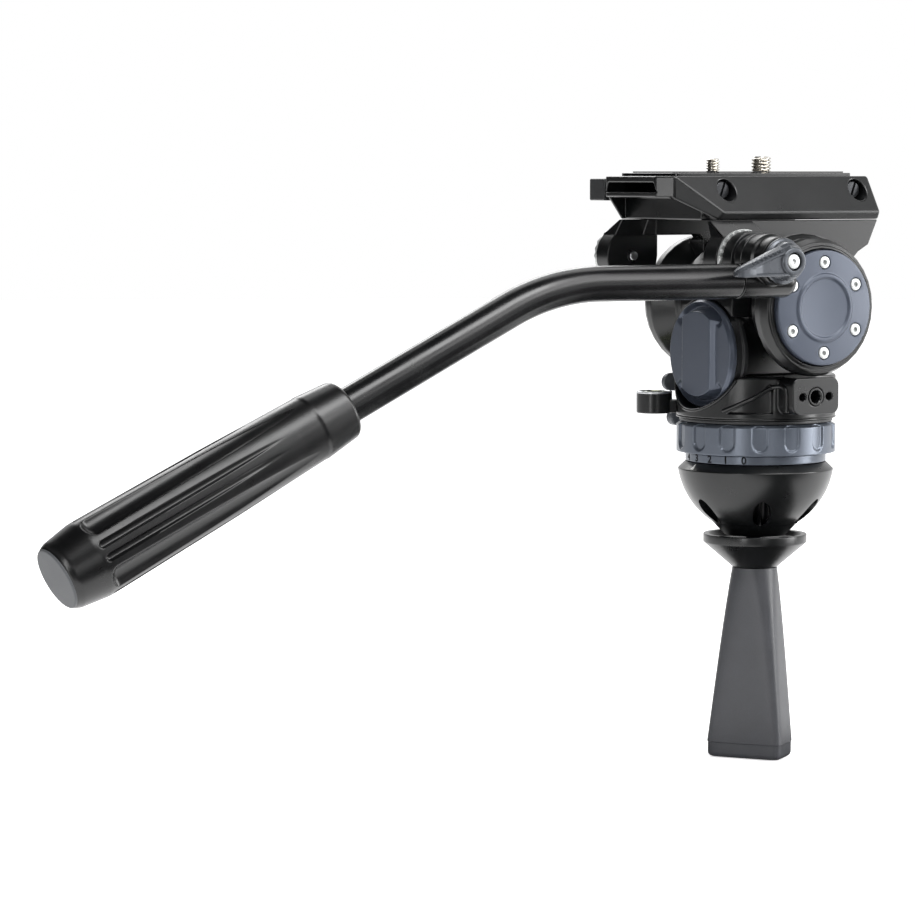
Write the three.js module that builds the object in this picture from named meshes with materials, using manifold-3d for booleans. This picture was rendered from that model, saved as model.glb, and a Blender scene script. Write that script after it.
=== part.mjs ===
import * as THREE from 'three';
import { mergeVertices } from 'three/addons/utils/BufferGeometryUtils.js';
import Module from 'manifold-3d';

const wasm = await Module();
wasm.setup();

// A fluid video head on a 75 mm half ball, with its pan bar. Millimetres, +Z up.
// +X is the way the lens points, -Y is the operator's right, and the origin lies on the
// pan axis at the rim of the half ball.

// Fits and facets
const seat = 0.3;
const overrun = 6;
const weld = 0.0004;
const fineSides = 32;
const midSides = 18;
const smallSides = 14;
const screwSides = 8;
const capSides = 22;
const holeSides = 12;
const shaftSides = 16;
const grooveSides = 8;
const plainCurve = 2;
const softCurve = 3;
const fullCurve = 5;

// Half ball
const ballRadius = 37.5;
const ballCentreHeight = 6;
const ballRimHeight = 0.5;
const ballTopHeight = 4;
const ballTopRadius = 33.5;
const ballWall = 4;
const ballConeHeight = -25.4;
const ballBottomHeight = -31.5;
const ballBottomRadius = 14.5;
const ballHubRadius = 12;
const ballRibTip = 22;
const ballRibWidth = 7;
const windowCount = 6;
const windowWidth = 8.4;
const windowHeight = 12;
const windowLevel = -19.5;

// Tie-down stud, clamp cup and handle
const studRadius = 4.76;
const studFlangeRadius = 8;
const studFlangeHeight = 4;
const studFlangeTop = -16;
const studBottom = -84;
const cupTop = -31;
const cupRadius = 24.8;
const cupRimHeight = 4;
const cupRimWidth = 2.6;
const cupRecessDepth = 2.8;
const cupBottom = -47;
const cupNeckRadius = 10.8;
const handleTop = cupBottom - seat;
const handleNeckRadius = 10.75;
const handleBandTop = -131.7;
const handleBottom = -139.2;
const handleHalfWidth = 18.9;
const handleHalfDepth = 11.1;
const handleLean = 2;
const handleSquareness = 8;
const handleEdge = 1.8;
const handleStep = 0.1;
const handleTurn = THREE.MathUtils.degToRad(35);
const handleSocketDepth = 40;
const nutRadius = 8;
const nutHeight = 9;

// Pan drag ring, its fluid cartridge and the pan spindle
const bandBottom = 4.35;
const bandTop = 8.2;
const bandRadius = 33.5;
const ringGroove = 0.55;
const ringTop = 23.3;
const ringRadius = 37.9;
const ringChamfer = 0.9;
const ringSides = 40;
const scallopCount = 15;
const scallopWidth = 7.7;
const scallopDepth = 1.6;
const scallopFloor = 12.4;
const scallopNoseDrop = 0.6;
const scallopNoseWaist = 0.72;
const scallopNoseRise = 0.2;
const scallopPhase = THREE.MathUtils.degToRad(20.6);
const cartridgeRadius = 26.6;
const cartridgeTop = 24.9;
const spindleRadius = 8;
const spindleBottom = -14;
const spindleNutRadius = 12.6;
const spindleNutHeight = 4.4;
const skirtRadius = 36.5;
const skirtThickness = 1.4;

// Base housing, with the accessory pad on the operator's right
const baseRadius = 38;
const baseBottom = 25.3;
const baseTop = 46;
const baseChamfer = 0.8;
const baseBoreRadius = 14;
const spindleRoof = 5.4;
const spindleTop = baseTop - spindleRoof;
const spindleNutProud = 2.7;
const bearingTop = spindleTop - spindleNutProud - spindleNutHeight - seat;
const padHalfWidth = 13.5;
const padFace = 47;
const padBottom = 28.8;
const padCorner = 4;
const padHoleOffset = 0.4;
const padHoleHeight = (padBottom + baseTop) / 2 - padHoleOffset;
const padHoleSpacing = 7.7;
const padPinRadius = 1.85;
const padPinDepth = 5;
const insertOuterRadius = 4.1;
const insertThreadRadius = 2.8;
const insertLength = 9;
const panelDepth = 1.9;
const panelBendX = 20.9;
const panelEndX = 31.7;

// Tower between the drums, with the tilt drag knob behind it
const towerHalfLength = 22;
const towerHalfWidth = 21;
const towerCorner = 4;
const towerDrumRadius = 30;
const towerLedgeDrop = 4.8;
const axleRadius = 7;
const tiltBearingRadius = 10;
const tiltBearingLength = 8;
const knobHeight = 56;
const knobRadius = 25.5;
const knobBack = 26;
const knobRim = 33.2;
const knobGripFace = 38;
const knobGripHalfWidth = 11.2;
const knobGripSlope = 3.4;
const knobBevel = 1.4;
const knobDish = 2.2;
const knobDishRadius = 15.3;
const knobShaftRadius = 4;
const knobShaftLength = 12;
const bezelRadius = 26;
const bezelBore = 12;
const bezelThickness = 2;
const bezelBack = knobBack - seat - bezelThickness;
const pocketRadius = 26.5;
const pocketBack = bezelBack - seat;

// Bubble level and the two friction locks, on the operator's left
const levelX = -40.3;
const levelY = 27;
const levelRadius = 8.6;
const levelBottom = 26.7;
const levelTop = 36.9;
const levelRecessRadius = 7.2;
const levelRecessDepth = 3.6;
const vialCrownShare = 0.7;
const levelArmWidth = 9;
const levelArmHeight = 6;
const lockStemRadius = 3;
const lockStemLength = 9;
const panLockX = -2;
const panLockHeight = 31;
const panLockHub = 5.5;
const panLockOuter = 46;
const panLockInner = 41;
const panLockReach = 20.5;
const panLockTipRadius = 4;
const panLockDroop = THREE.MathUtils.degToRad(30);
const tiltLockX = -14;
const tiltLockDrop = 5.4;
const tiltLockHeight = baseTop - tiltLockDrop;
const tiltLockHub = 4.9;
const tiltLockOuter = 38.5;
const tiltLockArm = 2.8;
const tiltLockReach = 15;
const tiltLockTipRadius = 4.2;
const lockFlatY = 34.6;
const lockFlatReach = 12;

// Platform casting. Its heights are measured from the tilt axis.
const platformFront = 44.6;
const platformRear = 73.3;
const platformTop = 60.9;
const platformBottom = 40.7;
const noseLength = 4;
const noseInset = 3;
const noseDrop = 5.5;
const flareHeight = 44.1;
const railHalfWidth = 27;
const flareHalfWidth = 37;
const bottomHalfWidth = 35.5;
const rearHalfWidth = 20.3;
const rearCornerX = 67.2;
const flareRearX = 45.3;
const tailUnderside = 51.2;
const tailFloor = 53.5;
const tailWallX = 54.8;
const tailWallHalf = 31;
const skirtWidth = 2;
const skirtRearX = 68;
const skirtFrontRight = 48.2;
const skirtFrontLeft = 56.7;
const cheekInner = 28;
const cheekOuter = 35.5;
const cheekRearX = 39;
const cheekRearHeight = 32.8;
const cheekThroatX = 13.5;
const cheekFillet = 2.5;
const cheekNoseX = 39.2;
const cheekNoseHeight = 28.7;
const cheekChinX = 33.2;
const cheekChinHeight = 25.3;
const channelFloor = 51.9;
const channelHalfWidth = 23.3;
const channelStep = 58.2;
const dovetailTopHalf = 18.5;
const dovetailBottomHalf = 21.5;
const sideHoleRadius = 5;
const sideHoleDepth = 12;
const sideHoleHeight = 54.4;
const sideHoleRearX = -40.4;
const sideHoleFrontX = 36;
const bridgeLength = 7;
const bridgeBottom = 57.9;

// Drums on the platform's cheeks, their fluid cartridges, caps and screws
const drumRadius = 32.4;
const drumClearance = 0.4;
const tiltHeight = baseTop + drumClearance + drumRadius;
const drumNeckRadius = 24;
const drumConeStart = 33;
const drumConeEnd = 42;
const drumLandEnd = 46;
const blendRadius = 33.9;
const drumFace = 50;
const drumFaceRadius = 30.4;
const drumLipRadius = 28.9;
const drumLipFace = 50.6;
const drumBoreRadius = 27.3;
const drumBoreFloor = 40;
const drumThroatRadius = 20.3;
const tiltCartridgeInner = 21.4;
const tiltCartridgeOuter = 47.8;
const capRadius = 26.8;
const capFace = 53;
const capBevel = 0.9;
const capRingRadius = 14.75;
const capRingWidth = 1.3;
const capRingRise = 0.9;
const capScrewCircle = 21.05;
const capScrewCount = 6;
const capScrewHeadRadius = 2.85;
const capScrewHeadHeight = 2.6;
const capScrewRadius = 1.5;
const capScrewLength = 8;

// Lugs and toothed rosettes for the pan bar
const lugX = 45;
const lugHeight = 22.8;
const lugRadius = 14.6;
const lugInner = 39;
const lugOuter = 49;
const lugShoulderAngle = THREE.MathUtils.degToRad(135);
const lugShoulderX = 54.2;
const lugSlopeHeight = 33.2;
const lugTopInner = 34.5;
const lugTopOuter = 37;
const rosetteRadius = 14;
const rosetteBore = 6;
const rosettePlate = 1.2;
const toothHeight = 0.9;
const toothCount = 24;
const rosetteScrewRise = 1.5;
const rosetteScrewRadius = 2.3;

// Camera plate and its two screws
const plateFront = 39.3;
const plateRear = 63.8;
const plateHalfWidth = 23;
const plateTop = 62.4;
const plateFootBottom = 52.2;
const plateFootTopHalf = 18.2;
const plateFootBottomHalf = 21.2;
const padThickness = 0.6;
const padMargin = 1;
const padFront = 35.6;
const padRear = 58;
const plateCorner = 3.6;
const plateHeel = 12.3;
const quarterScrewX = -26.1;
const quarterScrewRadius = 3.175;
const quarterScrewRise = 6.2;
const quarterHeadRadius = 6.4;
const largeScrewX = 2.2;
const largeScrewRadius = 4.76;
const largeScrewRise = 7.2;
const largeHeadRadius = 7.6;
const screwHeadHeight = 3;
const screwPocketDepth = 3.8;

// Plate lock lever on the operator's left
const plateLockX = -20;
const plateLockY = 40.6;
const plateLockHub = 6;
const plateLockBottom = 49.4;
const plateLockTop = 59.7;
const plateLockReach = 48;
const plateLockStem = 2.4;
const plateLockStemLength = 7;

// Pan bar: clamp barrel, socket, bent tube and grip. Places are measured from the clamp axis.
const barrelInner = 51.9;
const barrelRadius = 13.2;
const barrelGrooveRadius = 11.5;
const barrelShoulder = 59;
const barrelStep = 60.5;
const barrelCollarRadius = 12.3;
const barrelCollarEnd = 72;
const barrelNeckRadius = 11;
const barrelEnd = 79;
const tubeY = 65;
const tubeDrop = 9.1;
const tubeRadius = 8;
const tubeWall = 1.6;
const socketFront = 15.5;
const seamX = -15;
const spigotLength = 26;
const socketNoseLength = 3.6;
const socketNoseRound = 0.3;
const bendStartX = -89.1;
const bendRadius = 110;
const bendAngle = THREE.MathUtils.degToRad(25.7);
const gripStart = 91.7;
const gripLength = 147.2;
const tubeEndSetback = 26.4;
const lowerLength = gripStart + gripLength - tubeEndSetback;
const gripMouthRadius = 12;
const gripCollarRadius = 14.75;
const gripCollarLength = 18;
const gripSwellRadius = 16.9;
const gripNoseLength = 15;
const gripNoseRadius = 13.8;
const gripLip = 1.2;
const gripWaistShare = 0.55;
const capPlugRadius = 10.6;
const capPlugLength = 9;
const capThickness = 1;
const capLip = 0.5;
const scoopCount = 4;
const scoopCutter = 9.8;
const scoopDepth = 2;
const scoopPhase = THREE.MathUtils.degToRad(61);
const scoopStart = 12;
const scoopEndSetback = 14.7;
const scoopEnd = gripLength - scoopEndSetback;
const grooveRadius = 1.3;
const grooveAxis = 16.4;
const grooveSpread = THREE.MathUtils.degToRad(10.4);
const grooveStart = 24.6;
const grooveEndSetback = 16.7;
const grooveEnd = gripLength - grooveEndSetback;
const fluteNoseShare = 0.5;
const fluteNoseRound = 0.8;

// Clamp lever and bolt
const leverInner = barrelEnd + seat;
const leverRimRadius = 10.6;
const leverHubRadius = 8.4;
const leverHubStart = 82.4;
const leverOuter = 90.4;
const leverArmInner = 82;
const leverArmOuter = 88.6;
const leverReach = 30;
const leverTipHalf = 3;
const leverDroop = THREE.MathUtils.degToRad(8);
const boltRadius = 4.2;
const boltInner = 42;
const boltShoulder = 84;
const boltTipRadius = 3.4;
const boltOuter = 86.3;

// Materials
const blackMetal = new THREE.MeshStandardMaterial({ color: 0x1d1e20, roughness: 0.42, metalness: 0.7 });
const blackPlastic = new THREE.MeshStandardMaterial({ color: 0x17181a, roughness: 0.55, metalness: 0.0 });
const greyAccent = new THREE.MeshStandardMaterial({ color: 0x666c77, roughness: 0.4, metalness: 0.5 });
const leverGrey = new THREE.MeshStandardMaterial({ color: 0x6f7173, roughness: 0.5, metalness: 0.3 });
const gripRubber = new THREE.MeshStandardMaterial({ color: 0x1a1b1c, roughness: 0.6, metalness: 0.0 });
const capGrey = new THREE.MeshStandardMaterial({ color: 0x707173, roughness: 0.6, metalness: 0.0 });
const steel = new THREE.MeshStandardMaterial({ color: 0xc6c9cc, roughness: 0.28, metalness: 1.0 });
const bronze = new THREE.MeshStandardMaterial({ color: 0x9a7440, roughness: 0.45, metalness: 1.0 });
const corkBlack = new THREE.MeshStandardMaterial({ color: 0x121314, roughness: 0.9, metalness: 0.0 });
const vialGlass = new THREE.MeshStandardMaterial({ color: 0xb9d36a, roughness: 0.1, metalness: 0.0 });

// Shape tools

// Merges the shared corners of a geometry and drops the triangles that close to nothing.
function welded(geometry) {
  const bare = geometry.clone();
  bare.deleteAttribute('normal');
  bare.deleteAttribute('uv');
  const merged = mergeVertices(bare, weld);
  const corners = merged.index.array;
  const kept = [];
  for (let i = 0; i < corners.length; i += 3) {
    const [a, b, c] = [corners[i], corners[i + 1], corners[i + 2]];
    if (a !== b && b !== c && c !== a) kept.push(a, b, c);
  }
  merged.setIndex(kept);
  return merged;
}

function solidOf(geometry) {
  const merged = welded(geometry);
  const vertProperties = new Float32Array(merged.attributes.position.array);
  const triVerts = new Uint32Array(merged.index.array);
  return new wasm.Manifold(new wasm.Mesh({ numProp: 3, vertProperties, triVerts }));
}

function geometryOf(solid) {
  const { vertProperties, triVerts } = solid.getMesh();
  const geometry = new THREE.BufferGeometry();
  geometry.setAttribute('position', new THREE.BufferAttribute(new Float32Array(vertProperties), 3));
  geometry.setIndex(new THREE.BufferAttribute(new Uint32Array(triVerts), 1));
  geometry.computeVertexNormals();
  return geometry;
}

function joined(first, ...others) {
  return geometryOf(others.reduce((sum, next) => sum.add(solidOf(next)), solidOf(first)));
}

function cut(first, ...cutters) {
  return geometryOf(cutters.reduce((rest, next) => rest.subtract(solidOf(next)), solidOf(first)));
}

function common(first, second) {
  return geometryOf(solidOf(first).intersect(solidOf(second)));
}

// A solid of revolution about Z from a ring of [radius, height] points, outer wall going up.
function turned(profile, sides) {
  const points = profile.map(([radius, height]) => new THREE.Vector2(radius, height));
  const onAxis = profile[0][0] === 0 && profile[profile.length - 1][0] === 0;
  if (!onAxis) points.push(points[0].clone());
  return new THREE.LatheGeometry(points, sides).rotateX(Math.PI / 2);
}

function ring(inner, outer, bottom, top, sides) {
  return turned([[inner, bottom], [outer, bottom], [outer, top], [inner, top]], sides);
}

function rod(radius, bottom, top, sides) {
  return turned([[0, bottom], [radius, bottom], [radius, top], [0, top]], sides);
}

function outlineOf(points) {
  return new THREE.Shape(points.map(([x, y]) => new THREE.Vector2(x, y)));
}

// A prism on a plan outline, from one height to another.
function planPrism(shape, bottom, top, curveSegments = 6) {
  const geometry = new THREE.ExtrudeGeometry(shape, { depth: top - bottom, bevelEnabled: false, curveSegments });
  return geometry.translate(0, 0, bottom);
}

// A prism on a side outline of [x, z] points, from one y to a higher y.
function sidePrism(shape, lowY, highY, curveSegments = 6) {
  const geometry = new THREE.ExtrudeGeometry(shape, { depth: highY - lowY, bevelEnabled: false, curveSegments });
  return geometry.rotateX(Math.PI / 2).translate(0, highY, 0);
}

// A prism on an end outline of [y, z] points, from one x to a higher x.
function endPrism(shape, lowX, highX, curveSegments = 6) {
  const geometry = new THREE.ExtrudeGeometry(shape, { depth: highX - lowX, bevelEnabled: false, curveSegments });
  const turn = new THREE.Matrix4().makeBasis(
    new THREE.Vector3(0, 1, 0),
    new THREE.Vector3(0, 0, 1),
    new THREE.Vector3(1, 0, 0),
  );
  return geometry.applyMatrix4(turn).translate(lowX, 0, 0);
}

function roundedOutline(left, bottom, right, top, corner) {
  const shape = new THREE.Shape();
  shape.moveTo(left + corner, bottom);
  shape.lineTo(right - corner, bottom);
  shape.absarc(right - corner, bottom + corner, corner, -Math.PI / 2, 0, false);
  shape.lineTo(right, top - corner);
  shape.absarc(right - corner, top - corner, corner, 0, Math.PI / 2, false);
  shape.lineTo(left + corner, top);
  shape.absarc(left + corner, top - corner, corner, Math.PI / 2, Math.PI, false);
  shape.lineTo(left, bottom + corner);
  shape.absarc(left + corner, bottom + corner, corner, Math.PI, Math.PI * 1.5, false);
  return shape;
}

// The outline of two round ends joined by tangents, from the origin towards -x.
function leverOutline(hubRadius, reach, tipRadius, droop) {
  const tipX = -reach * Math.cos(droop);
  const tipY = -reach * Math.sin(droop);
  const heading = Math.atan2(tipY, tipX);
  const open = Math.acos((hubRadius - tipRadius) / reach);
  const shape = new THREE.Shape();
  shape.absarc(0, 0, hubRadius, heading + open, heading - open + Math.PI * 2, false);
  shape.absarc(tipX, tipY, tipRadius, heading - open, heading + open, false);
  return shape;
}

// Turns a shape made along +Z so that it points to the operator's right, along -Y.
function toRight(geometry) {
  return geometry.rotateX(Math.PI / 2);
}

function toLeft(geometry) {
  return geometry.rotateX(-Math.PI / 2);
}

// Turns a shape made along +Z so that it points to the rear, along -X.
function toRear(geometry) {
  return geometry.rotateY(-Math.PI / 2);
}

function part(name, geometry, material) {
  const mesh = new THREE.Mesh(geometry, material);
  mesh.name = name;
  return mesh;
}

function groupAt(x, y, z, ...members) {
  const group = new THREE.Group();
  group.position.set(x, y, z);
  group.add(...members);
  return group;
}

// Bowl seat

// The half ball: a spherical shell with a centre hub, cut open by six oval windows that
// each show one of the ribs inside.
function halfBall() {
  const sphereRadiusAt = (height, radius) => Math.sqrt(radius ** 2 - (height - ballCentreHeight) ** 2);
  const boreRadius = studFlangeRadius + seat;
  const studHole = studRadius + seat;
  const flangeSeat = studFlangeTop - studFlangeHeight - seat;
  const outer = [[studHole, ballBottomHeight], [ballBottomRadius, ballBottomHeight]];
  const arcSteps = 8;
  for (let i = 0; i <= arcSteps; i += 1) {
    const height = ballConeHeight + (ballRimHeight - ballConeHeight) * (i / arcSteps) ** (2 / 3 + i / arcSteps / 3);
    outer.push([sphereRadiusAt(height, ballRadius), height]);
  }
  outer.push([ballTopRadius, ballTopHeight], [boreRadius, ballTopHeight]);
  outer.push([boreRadius, flangeSeat], [studHole, flangeSeat]);
  const innerRadius = ballRadius - ballWall;
  const ceiling = ballRimHeight - ballWall / 2;
  const cavity = [[ballHubRadius, ballConeHeight + ballWall / 2]];
  for (let i = 0; i <= arcSteps / 2; i += 1) {
    const height = ballConeHeight + ballWall / 2 + (ceiling - ballConeHeight - ballWall / 2) * (i / arcSteps) * 2;
    cavity.push([sphereRadiusAt(height, innerRadius), height]);
  }
  cavity.push([ballHubRadius, ceiling]);
  let shell = cut(turned(outer, fineSides), turned(cavity, smallSides));
  for (let i = 0; i < windowCount; i += 1) {
    const angle = (i / windowCount) * Math.PI * 2;
    shell = cut(shell, windowCutter().rotateZ(angle));
  }
  for (let i = 0; i < windowCount; i += 1) {
    const angle = (i / windowCount) * Math.PI * 2;
    shell = joined(shell, hubRib().rotateZ(angle));
  }
  return shell;
}

function windowCutter() {
  const shape = new THREE.Shape();
  shape.absellipse(0, windowLevel, windowWidth / 2, windowHeight / 2, 0, Math.PI * 2, false);
  return endPrism(shape, ballHubRadius + seat, ballRadius + overrun, softCurve);
}

// A wedge rib on the hub, its edge facing the window.
function hubRib() {
  const root = ballHubRadius - ballWall / 2;
  const wedge = outlineOf([[root, -ballRibWidth / 2], [ballRibTip, 0], [root, ballRibWidth / 2]]);
  return planPrism(wedge, ballConeHeight, -ballWall);
}

function tieDownStud() {
  const flangeBottom = studFlangeTop - studFlangeHeight;
  return turned([
    [0, studBottom], [studRadius, studBottom], [studRadius, flangeBottom],
    [studFlangeRadius, flangeBottom], [studFlangeRadius, studFlangeTop], [0, studFlangeTop],
  ], smallSides);
}

function clampCup() {
  const bore = studRadius + seat;
  const innerRim = cupRadius - cupRimWidth;
  return turned([
    [bore, cupBottom], [cupNeckRadius, cupBottom],
    [cupRadius, cupTop - cupRimHeight], [cupRadius, cupTop],
    [innerRim, cupTop], [innerRim - cupRimWidth / 2, cupTop - cupRecessDepth], [bore, cupTop - cupRecessDepth],
  ], fineSides);
}

// The handle is a loft: round where it meets the cup, and a rounded slab at its foot,
// which leans a little to one side.
function tieDownHandle() {
  const around = capSides;
  const rows = [
    { height: handleBottom, share: 1, inset: handleEdge },
    { height: handleBottom + handleEdge, share: 1, inset: handleStep },
    { height: handleBandTop, share: 1, inset: handleStep },
    { height: handleBandTop + handleStep * 4, share: 1, inset: 0 },
  ];
  const risers = 6;
  for (let i = 1; i <= risers; i += 1) {
    const share = 1 - i / risers;
    rows.push({ height: handleTop + (handleBandTop - handleTop) * share, share, inset: 0 });
  }
  const positions = [];
  for (const { height, share, inset } of rows) {
    const halfWidth = THREE.MathUtils.lerp(handleNeckRadius, handleHalfWidth, share) - inset;
    const halfDepth = THREE.MathUtils.lerp(handleNeckRadius, handleHalfDepth, share) - inset;
    const squareness = THREE.MathUtils.lerp(2, handleSquareness, share);
    for (let j = 0; j < around; j += 1) {
      const angle = ((j + 0.5) / around) * Math.PI * 2;
      const c = Math.cos(angle);
      const s = Math.sin(angle);
      const stretch = (Math.abs(c) ** squareness + Math.abs(s) ** squareness) ** (-1 / squareness);
      positions.push(halfDepth * c * stretch, handleLean * share + halfWidth * s * stretch, height);
    }
  }
  const body = lofted(positions, rows.length, around);
  const socket = rod(studRadius + seat, handleTop - handleSocketDepth, handleTop + overrun, smallSides);
  const pocket = turnedHexagon(nutRadius + seat, handleTop - nutHeight - seat, handleTop + overrun);
  return cut(body, socket, pocket).rotateZ(handleTurn);
}

// Closes a stack of equal rings of points into a solid with flat ends.
function lofted(positions, rowCount, around) {
  const faces = [];
  for (let row = 0; row < rowCount - 1; row += 1) {
    for (let j = 0; j < around; j += 1) {
      const next = (j + 1) % around;
      const a = row * around + j;
      const b = row * around + next;
      faces.push(a, b, b + around, a, b + around, a + around);
    }
  }
  const last = (rowCount - 1) * around;
  for (let j = 1; j < around - 1; j += 1) {
    faces.push(0, j + 1, j);
    faces.push(last, last + j, last + j + 1);
  }
  const geometry = new THREE.BufferGeometry();
  geometry.setAttribute('position', new THREE.Float32BufferAttribute(positions, 3));
  geometry.setIndex(faces);
  return geometry;
}

function turnedHexagon(radius, bottom, top) {
  return rod(radius, bottom, top, 6);
}

function handleNut() {
  const bore = rod(studRadius + seat, handleTop - nutHeight - overrun, handleTop + overrun, smallSides);
  return cut(turnedHexagon(nutRadius, handleTop - nutHeight, handleTop - seat), bore).rotateZ(handleTurn);
}

// Pan drag

// One piece: the numbered band below and the scalloped ring above it.
function panDragRing() {
  const bore = cartridgeRadius + seat;
  const ringBottom = bandTop + ringGroove;
  const body = turned([
    [bore, bandBottom], [bandRadius, bandBottom], [bandRadius, bandTop],
    [bandRadius - ringGroove, bandTop], [bandRadius - ringGroove, ringBottom],
    [ringRadius - ringChamfer, ringBottom], [ringRadius, ringBottom + ringChamfer],
    [ringRadius, ringTop - ringChamfer], [ringRadius - ringChamfer, ringTop], [bore, ringTop],
  ], ringSides);
  const cutterRadius = ((scallopWidth / 2) ** 2 + scallopDepth ** 2) / (2 * scallopDepth);
  const cutters = [];
  for (let i = 0; i < scallopCount; i += 1) {
    const angle = scallopPhase + (i / scallopCount) * Math.PI * 2;
    const cutter = turned([
      [0, scallopFloor - cutterRadius * scallopNoseDrop],
      [cutterRadius * scallopNoseWaist, scallopFloor - cutterRadius * scallopNoseDrop ** 2],
      [cutterRadius, scallopFloor + cutterRadius * scallopNoseRise],
      [cutterRadius, ringTop + overrun], [0, ringTop + overrun],
    ], holeSides);
    cutter.translate(ringRadius + cutterRadius - scallopDepth, 0, 0);
    cutters.push(cutter.rotateZ(angle));
  }
  return cut(body, ...cutters);
}

function panCartridge() {
  return ring(spindleRadius + seat, cartridgeRadius, ballTopHeight + seat / 3, cartridgeTop, midSides);
}

function panSpindle() {
  const nutBottom = bearingTop + seat;
  return turned([
    [0, spindleBottom], [spindleRadius, spindleBottom], [spindleRadius, nutBottom],
    [spindleNutRadius, nutBottom], [spindleNutRadius, nutBottom + spindleNutHeight],
    [spindleRadius, nutBottom + spindleNutHeight], [spindleRadius, spindleTop], [0, spindleTop],
  ], smallSides);
}

function panBearing() {
  return ring(spindleRadius + seat, baseBoreRadius - seat, cartridgeTop + seat, bearingTop, smallSides);
}

function skirtRing() {
  const top = baseBottom - seat;
  return ring(cartridgeRadius + seat, skirtRadius, top - skirtThickness, top, fineSides);
}

// Base housing and tower

function knobPocket() {
  const pocket = toRear(rod(pocketRadius, pocketBack, baseRadius + overrun, fineSides));
  return pocket.translate(0, 0, knobHeight);
}

// The sunk panel in the wall beside the accessory pad, under a sweeping edge.
function wallPanel() {
  const inner = baseRadius - panelDepth;
  const edge = padHalfWidth + panelDepth;
  const shape = new THREE.Shape();
  shape.moveTo(-edge, padBottom);
  shape.lineTo(-edge, baseTop - panelDepth * 3);
  shape.quadraticCurveTo(-edge, baseTop - panelDepth * 2, -edge - panelDepth, baseTop - panelDepth * 2);
  shape.quadraticCurveTo(-panelBendX, padHoleHeight, -panelEndX, padBottom);
  const band = ring(inner, baseRadius + overrun, baseBottom, baseTop, fineSides);
  return common(band, sidePrism(shape, -baseRadius - overrun, -baseRadius / 4, fullCurve));
}

function baseHousing() {
  const drum = turned([
    [0, baseBottom], [baseRadius - baseChamfer, baseBottom], [baseRadius, baseBottom + baseChamfer],
    [baseRadius, baseTop - baseChamfer], [baseRadius - baseChamfer, baseTop], [0, baseTop],
  ], fineSides);
  const pad = sidePrism(
    roundedOutline(-padHalfWidth, padBottom, padHalfWidth, baseTop, padCorner),
    -padFace,
    -baseRadius / 2,
  );
  const bore = rod(baseBoreRadius, baseBottom - overrun, spindleTop + seat * 2, smallSides);
  const insertFloor = padFace - insertLength - seat;
  const insertHole = toRight(rod(insertOuterRadius + seat, insertFloor, padFace + overrun, shaftSides));
  const rightPanel = wallPanel();
  const frontPanel = wallPanel().scale(-1, 1, 1);
  let body = cut(joined(drum, pad), bore, knobPocket(), insertHole.translate(0, 0, padHoleHeight));
  body = cut(body, rightPanel, flipped(frontPanel));
  for (const side of [-1, 1]) {
    const pin = toRight(rod(padPinRadius, padFace - padPinDepth, padFace + overrun, holeSides));
    body = cut(body, pin.translate(side * padHoleSpacing, 0, padHoleHeight));
  }
  const stemHole = rod(lockStemRadius + seat, baseRadius - lockStemLength - seat, baseRadius + overrun, holeSides);
  const panStem = toLeft(stemHole.clone());
  const tiltStem = toLeft(stemHole.clone());
  return cut(
    body,
    panStem.translate(panLockX, 0, panLockHeight),
    tiltStem.translate(tiltLockX, 0, tiltLockHeight),
    lockFlat(),
  );
}

// Turns a mirrored geometry's faces outwards again.
function flipped(geometry) {
  const corners = geometry.index.array;
  for (let i = 0; i < corners.length; i += 3) {
    [corners[i], corners[i + 1]] = [corners[i + 1], corners[i]];
  }
  return geometry;
}

function threadInsert() {
  const sleeve = ring(insertThreadRadius, insertOuterRadius, padFace - insertLength, padFace - seat, shaftSides);
  return toRight(sleeve).translate(0, 0, padHoleHeight);
}

// The tower: a square pillar that carries the round tilt head, with a boss for the knob.
function centreHousing() {
  const floor = baseTop + seat;
  const pillar = planPrism(
    roundedOutline(-towerHalfLength, -towerHalfWidth, towerHalfLength, towerHalfWidth, towerCorner),
    floor,
    tiltHeight,
    softCurve,
  );
  const head = toRight(rod(towerDrumRadius, -towerHalfWidth, towerHalfWidth, fineSides)).translate(0, 0, tiltHeight);
  const below = planPrism(
    roundedOutline(-baseRadius, -baseRadius, baseRadius, baseRadius, towerCorner),
    floor - baseRadius,
    tiltHeight - towerLedgeDrop,
    plainCurve,
  );
  const boss = toRear(rod(knobRadius, towerCorner, pocketBack, fineSides)).translate(0, 0, knobHeight);
  const underBoss = planPrism(
    roundedOutline(-baseRadius, -baseRadius, baseRadius, baseRadius, towerCorner),
    knobHeight - baseRadius,
    floor,
    plainCurve,
  );
  const bossTop = common(cut(boss, underBoss), widthSlab());
  const shape = joined(pillar, cut(head, below), bossTop);
  const bore = toRight(rod(axleRadius + seat, -towerHalfWidth - overrun, towerHalfWidth + overrun, smallSides));
  const bearingDepth = towerHalfWidth - tiltBearingLength - seat;
  const pocket = rod(tiltBearingRadius + seat, bearingDepth, towerHalfWidth + overrun, smallSides);
  const shaftFloor = knobBack - knobShaftLength - seat;
  const shaftHole = toRear(rod(knobShaftRadius + seat, shaftFloor, knobBack + overrun, shaftSides));
  return cut(
    shape,
    bore.translate(0, 0, tiltHeight),
    toRight(pocket.clone()).translate(0, 0, tiltHeight),
    toLeft(pocket.clone()).translate(0, 0, tiltHeight),
    shaftHole.translate(0, 0, knobHeight),
    knobPocket(),
  );
}

function widthSlab() {
  const outline = roundedOutline(-baseRadius, -baseRadius, baseRadius, tiltHeight * 2, towerCorner);
  return sidePrism(outline, -towerHalfWidth, towerHalfWidth, plainCurve);
}

function tiltBearing() {
  const outer = towerHalfWidth - seat;
  return ring(axleRadius + seat, tiltBearingRadius, outer - tiltBearingLength + seat, outer, smallSides);
}

function knobBezel() {
  return toRear(ring(bezelBore, bezelRadius, bezelBack, bezelBack + bezelThickness, fineSides));
}

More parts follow.
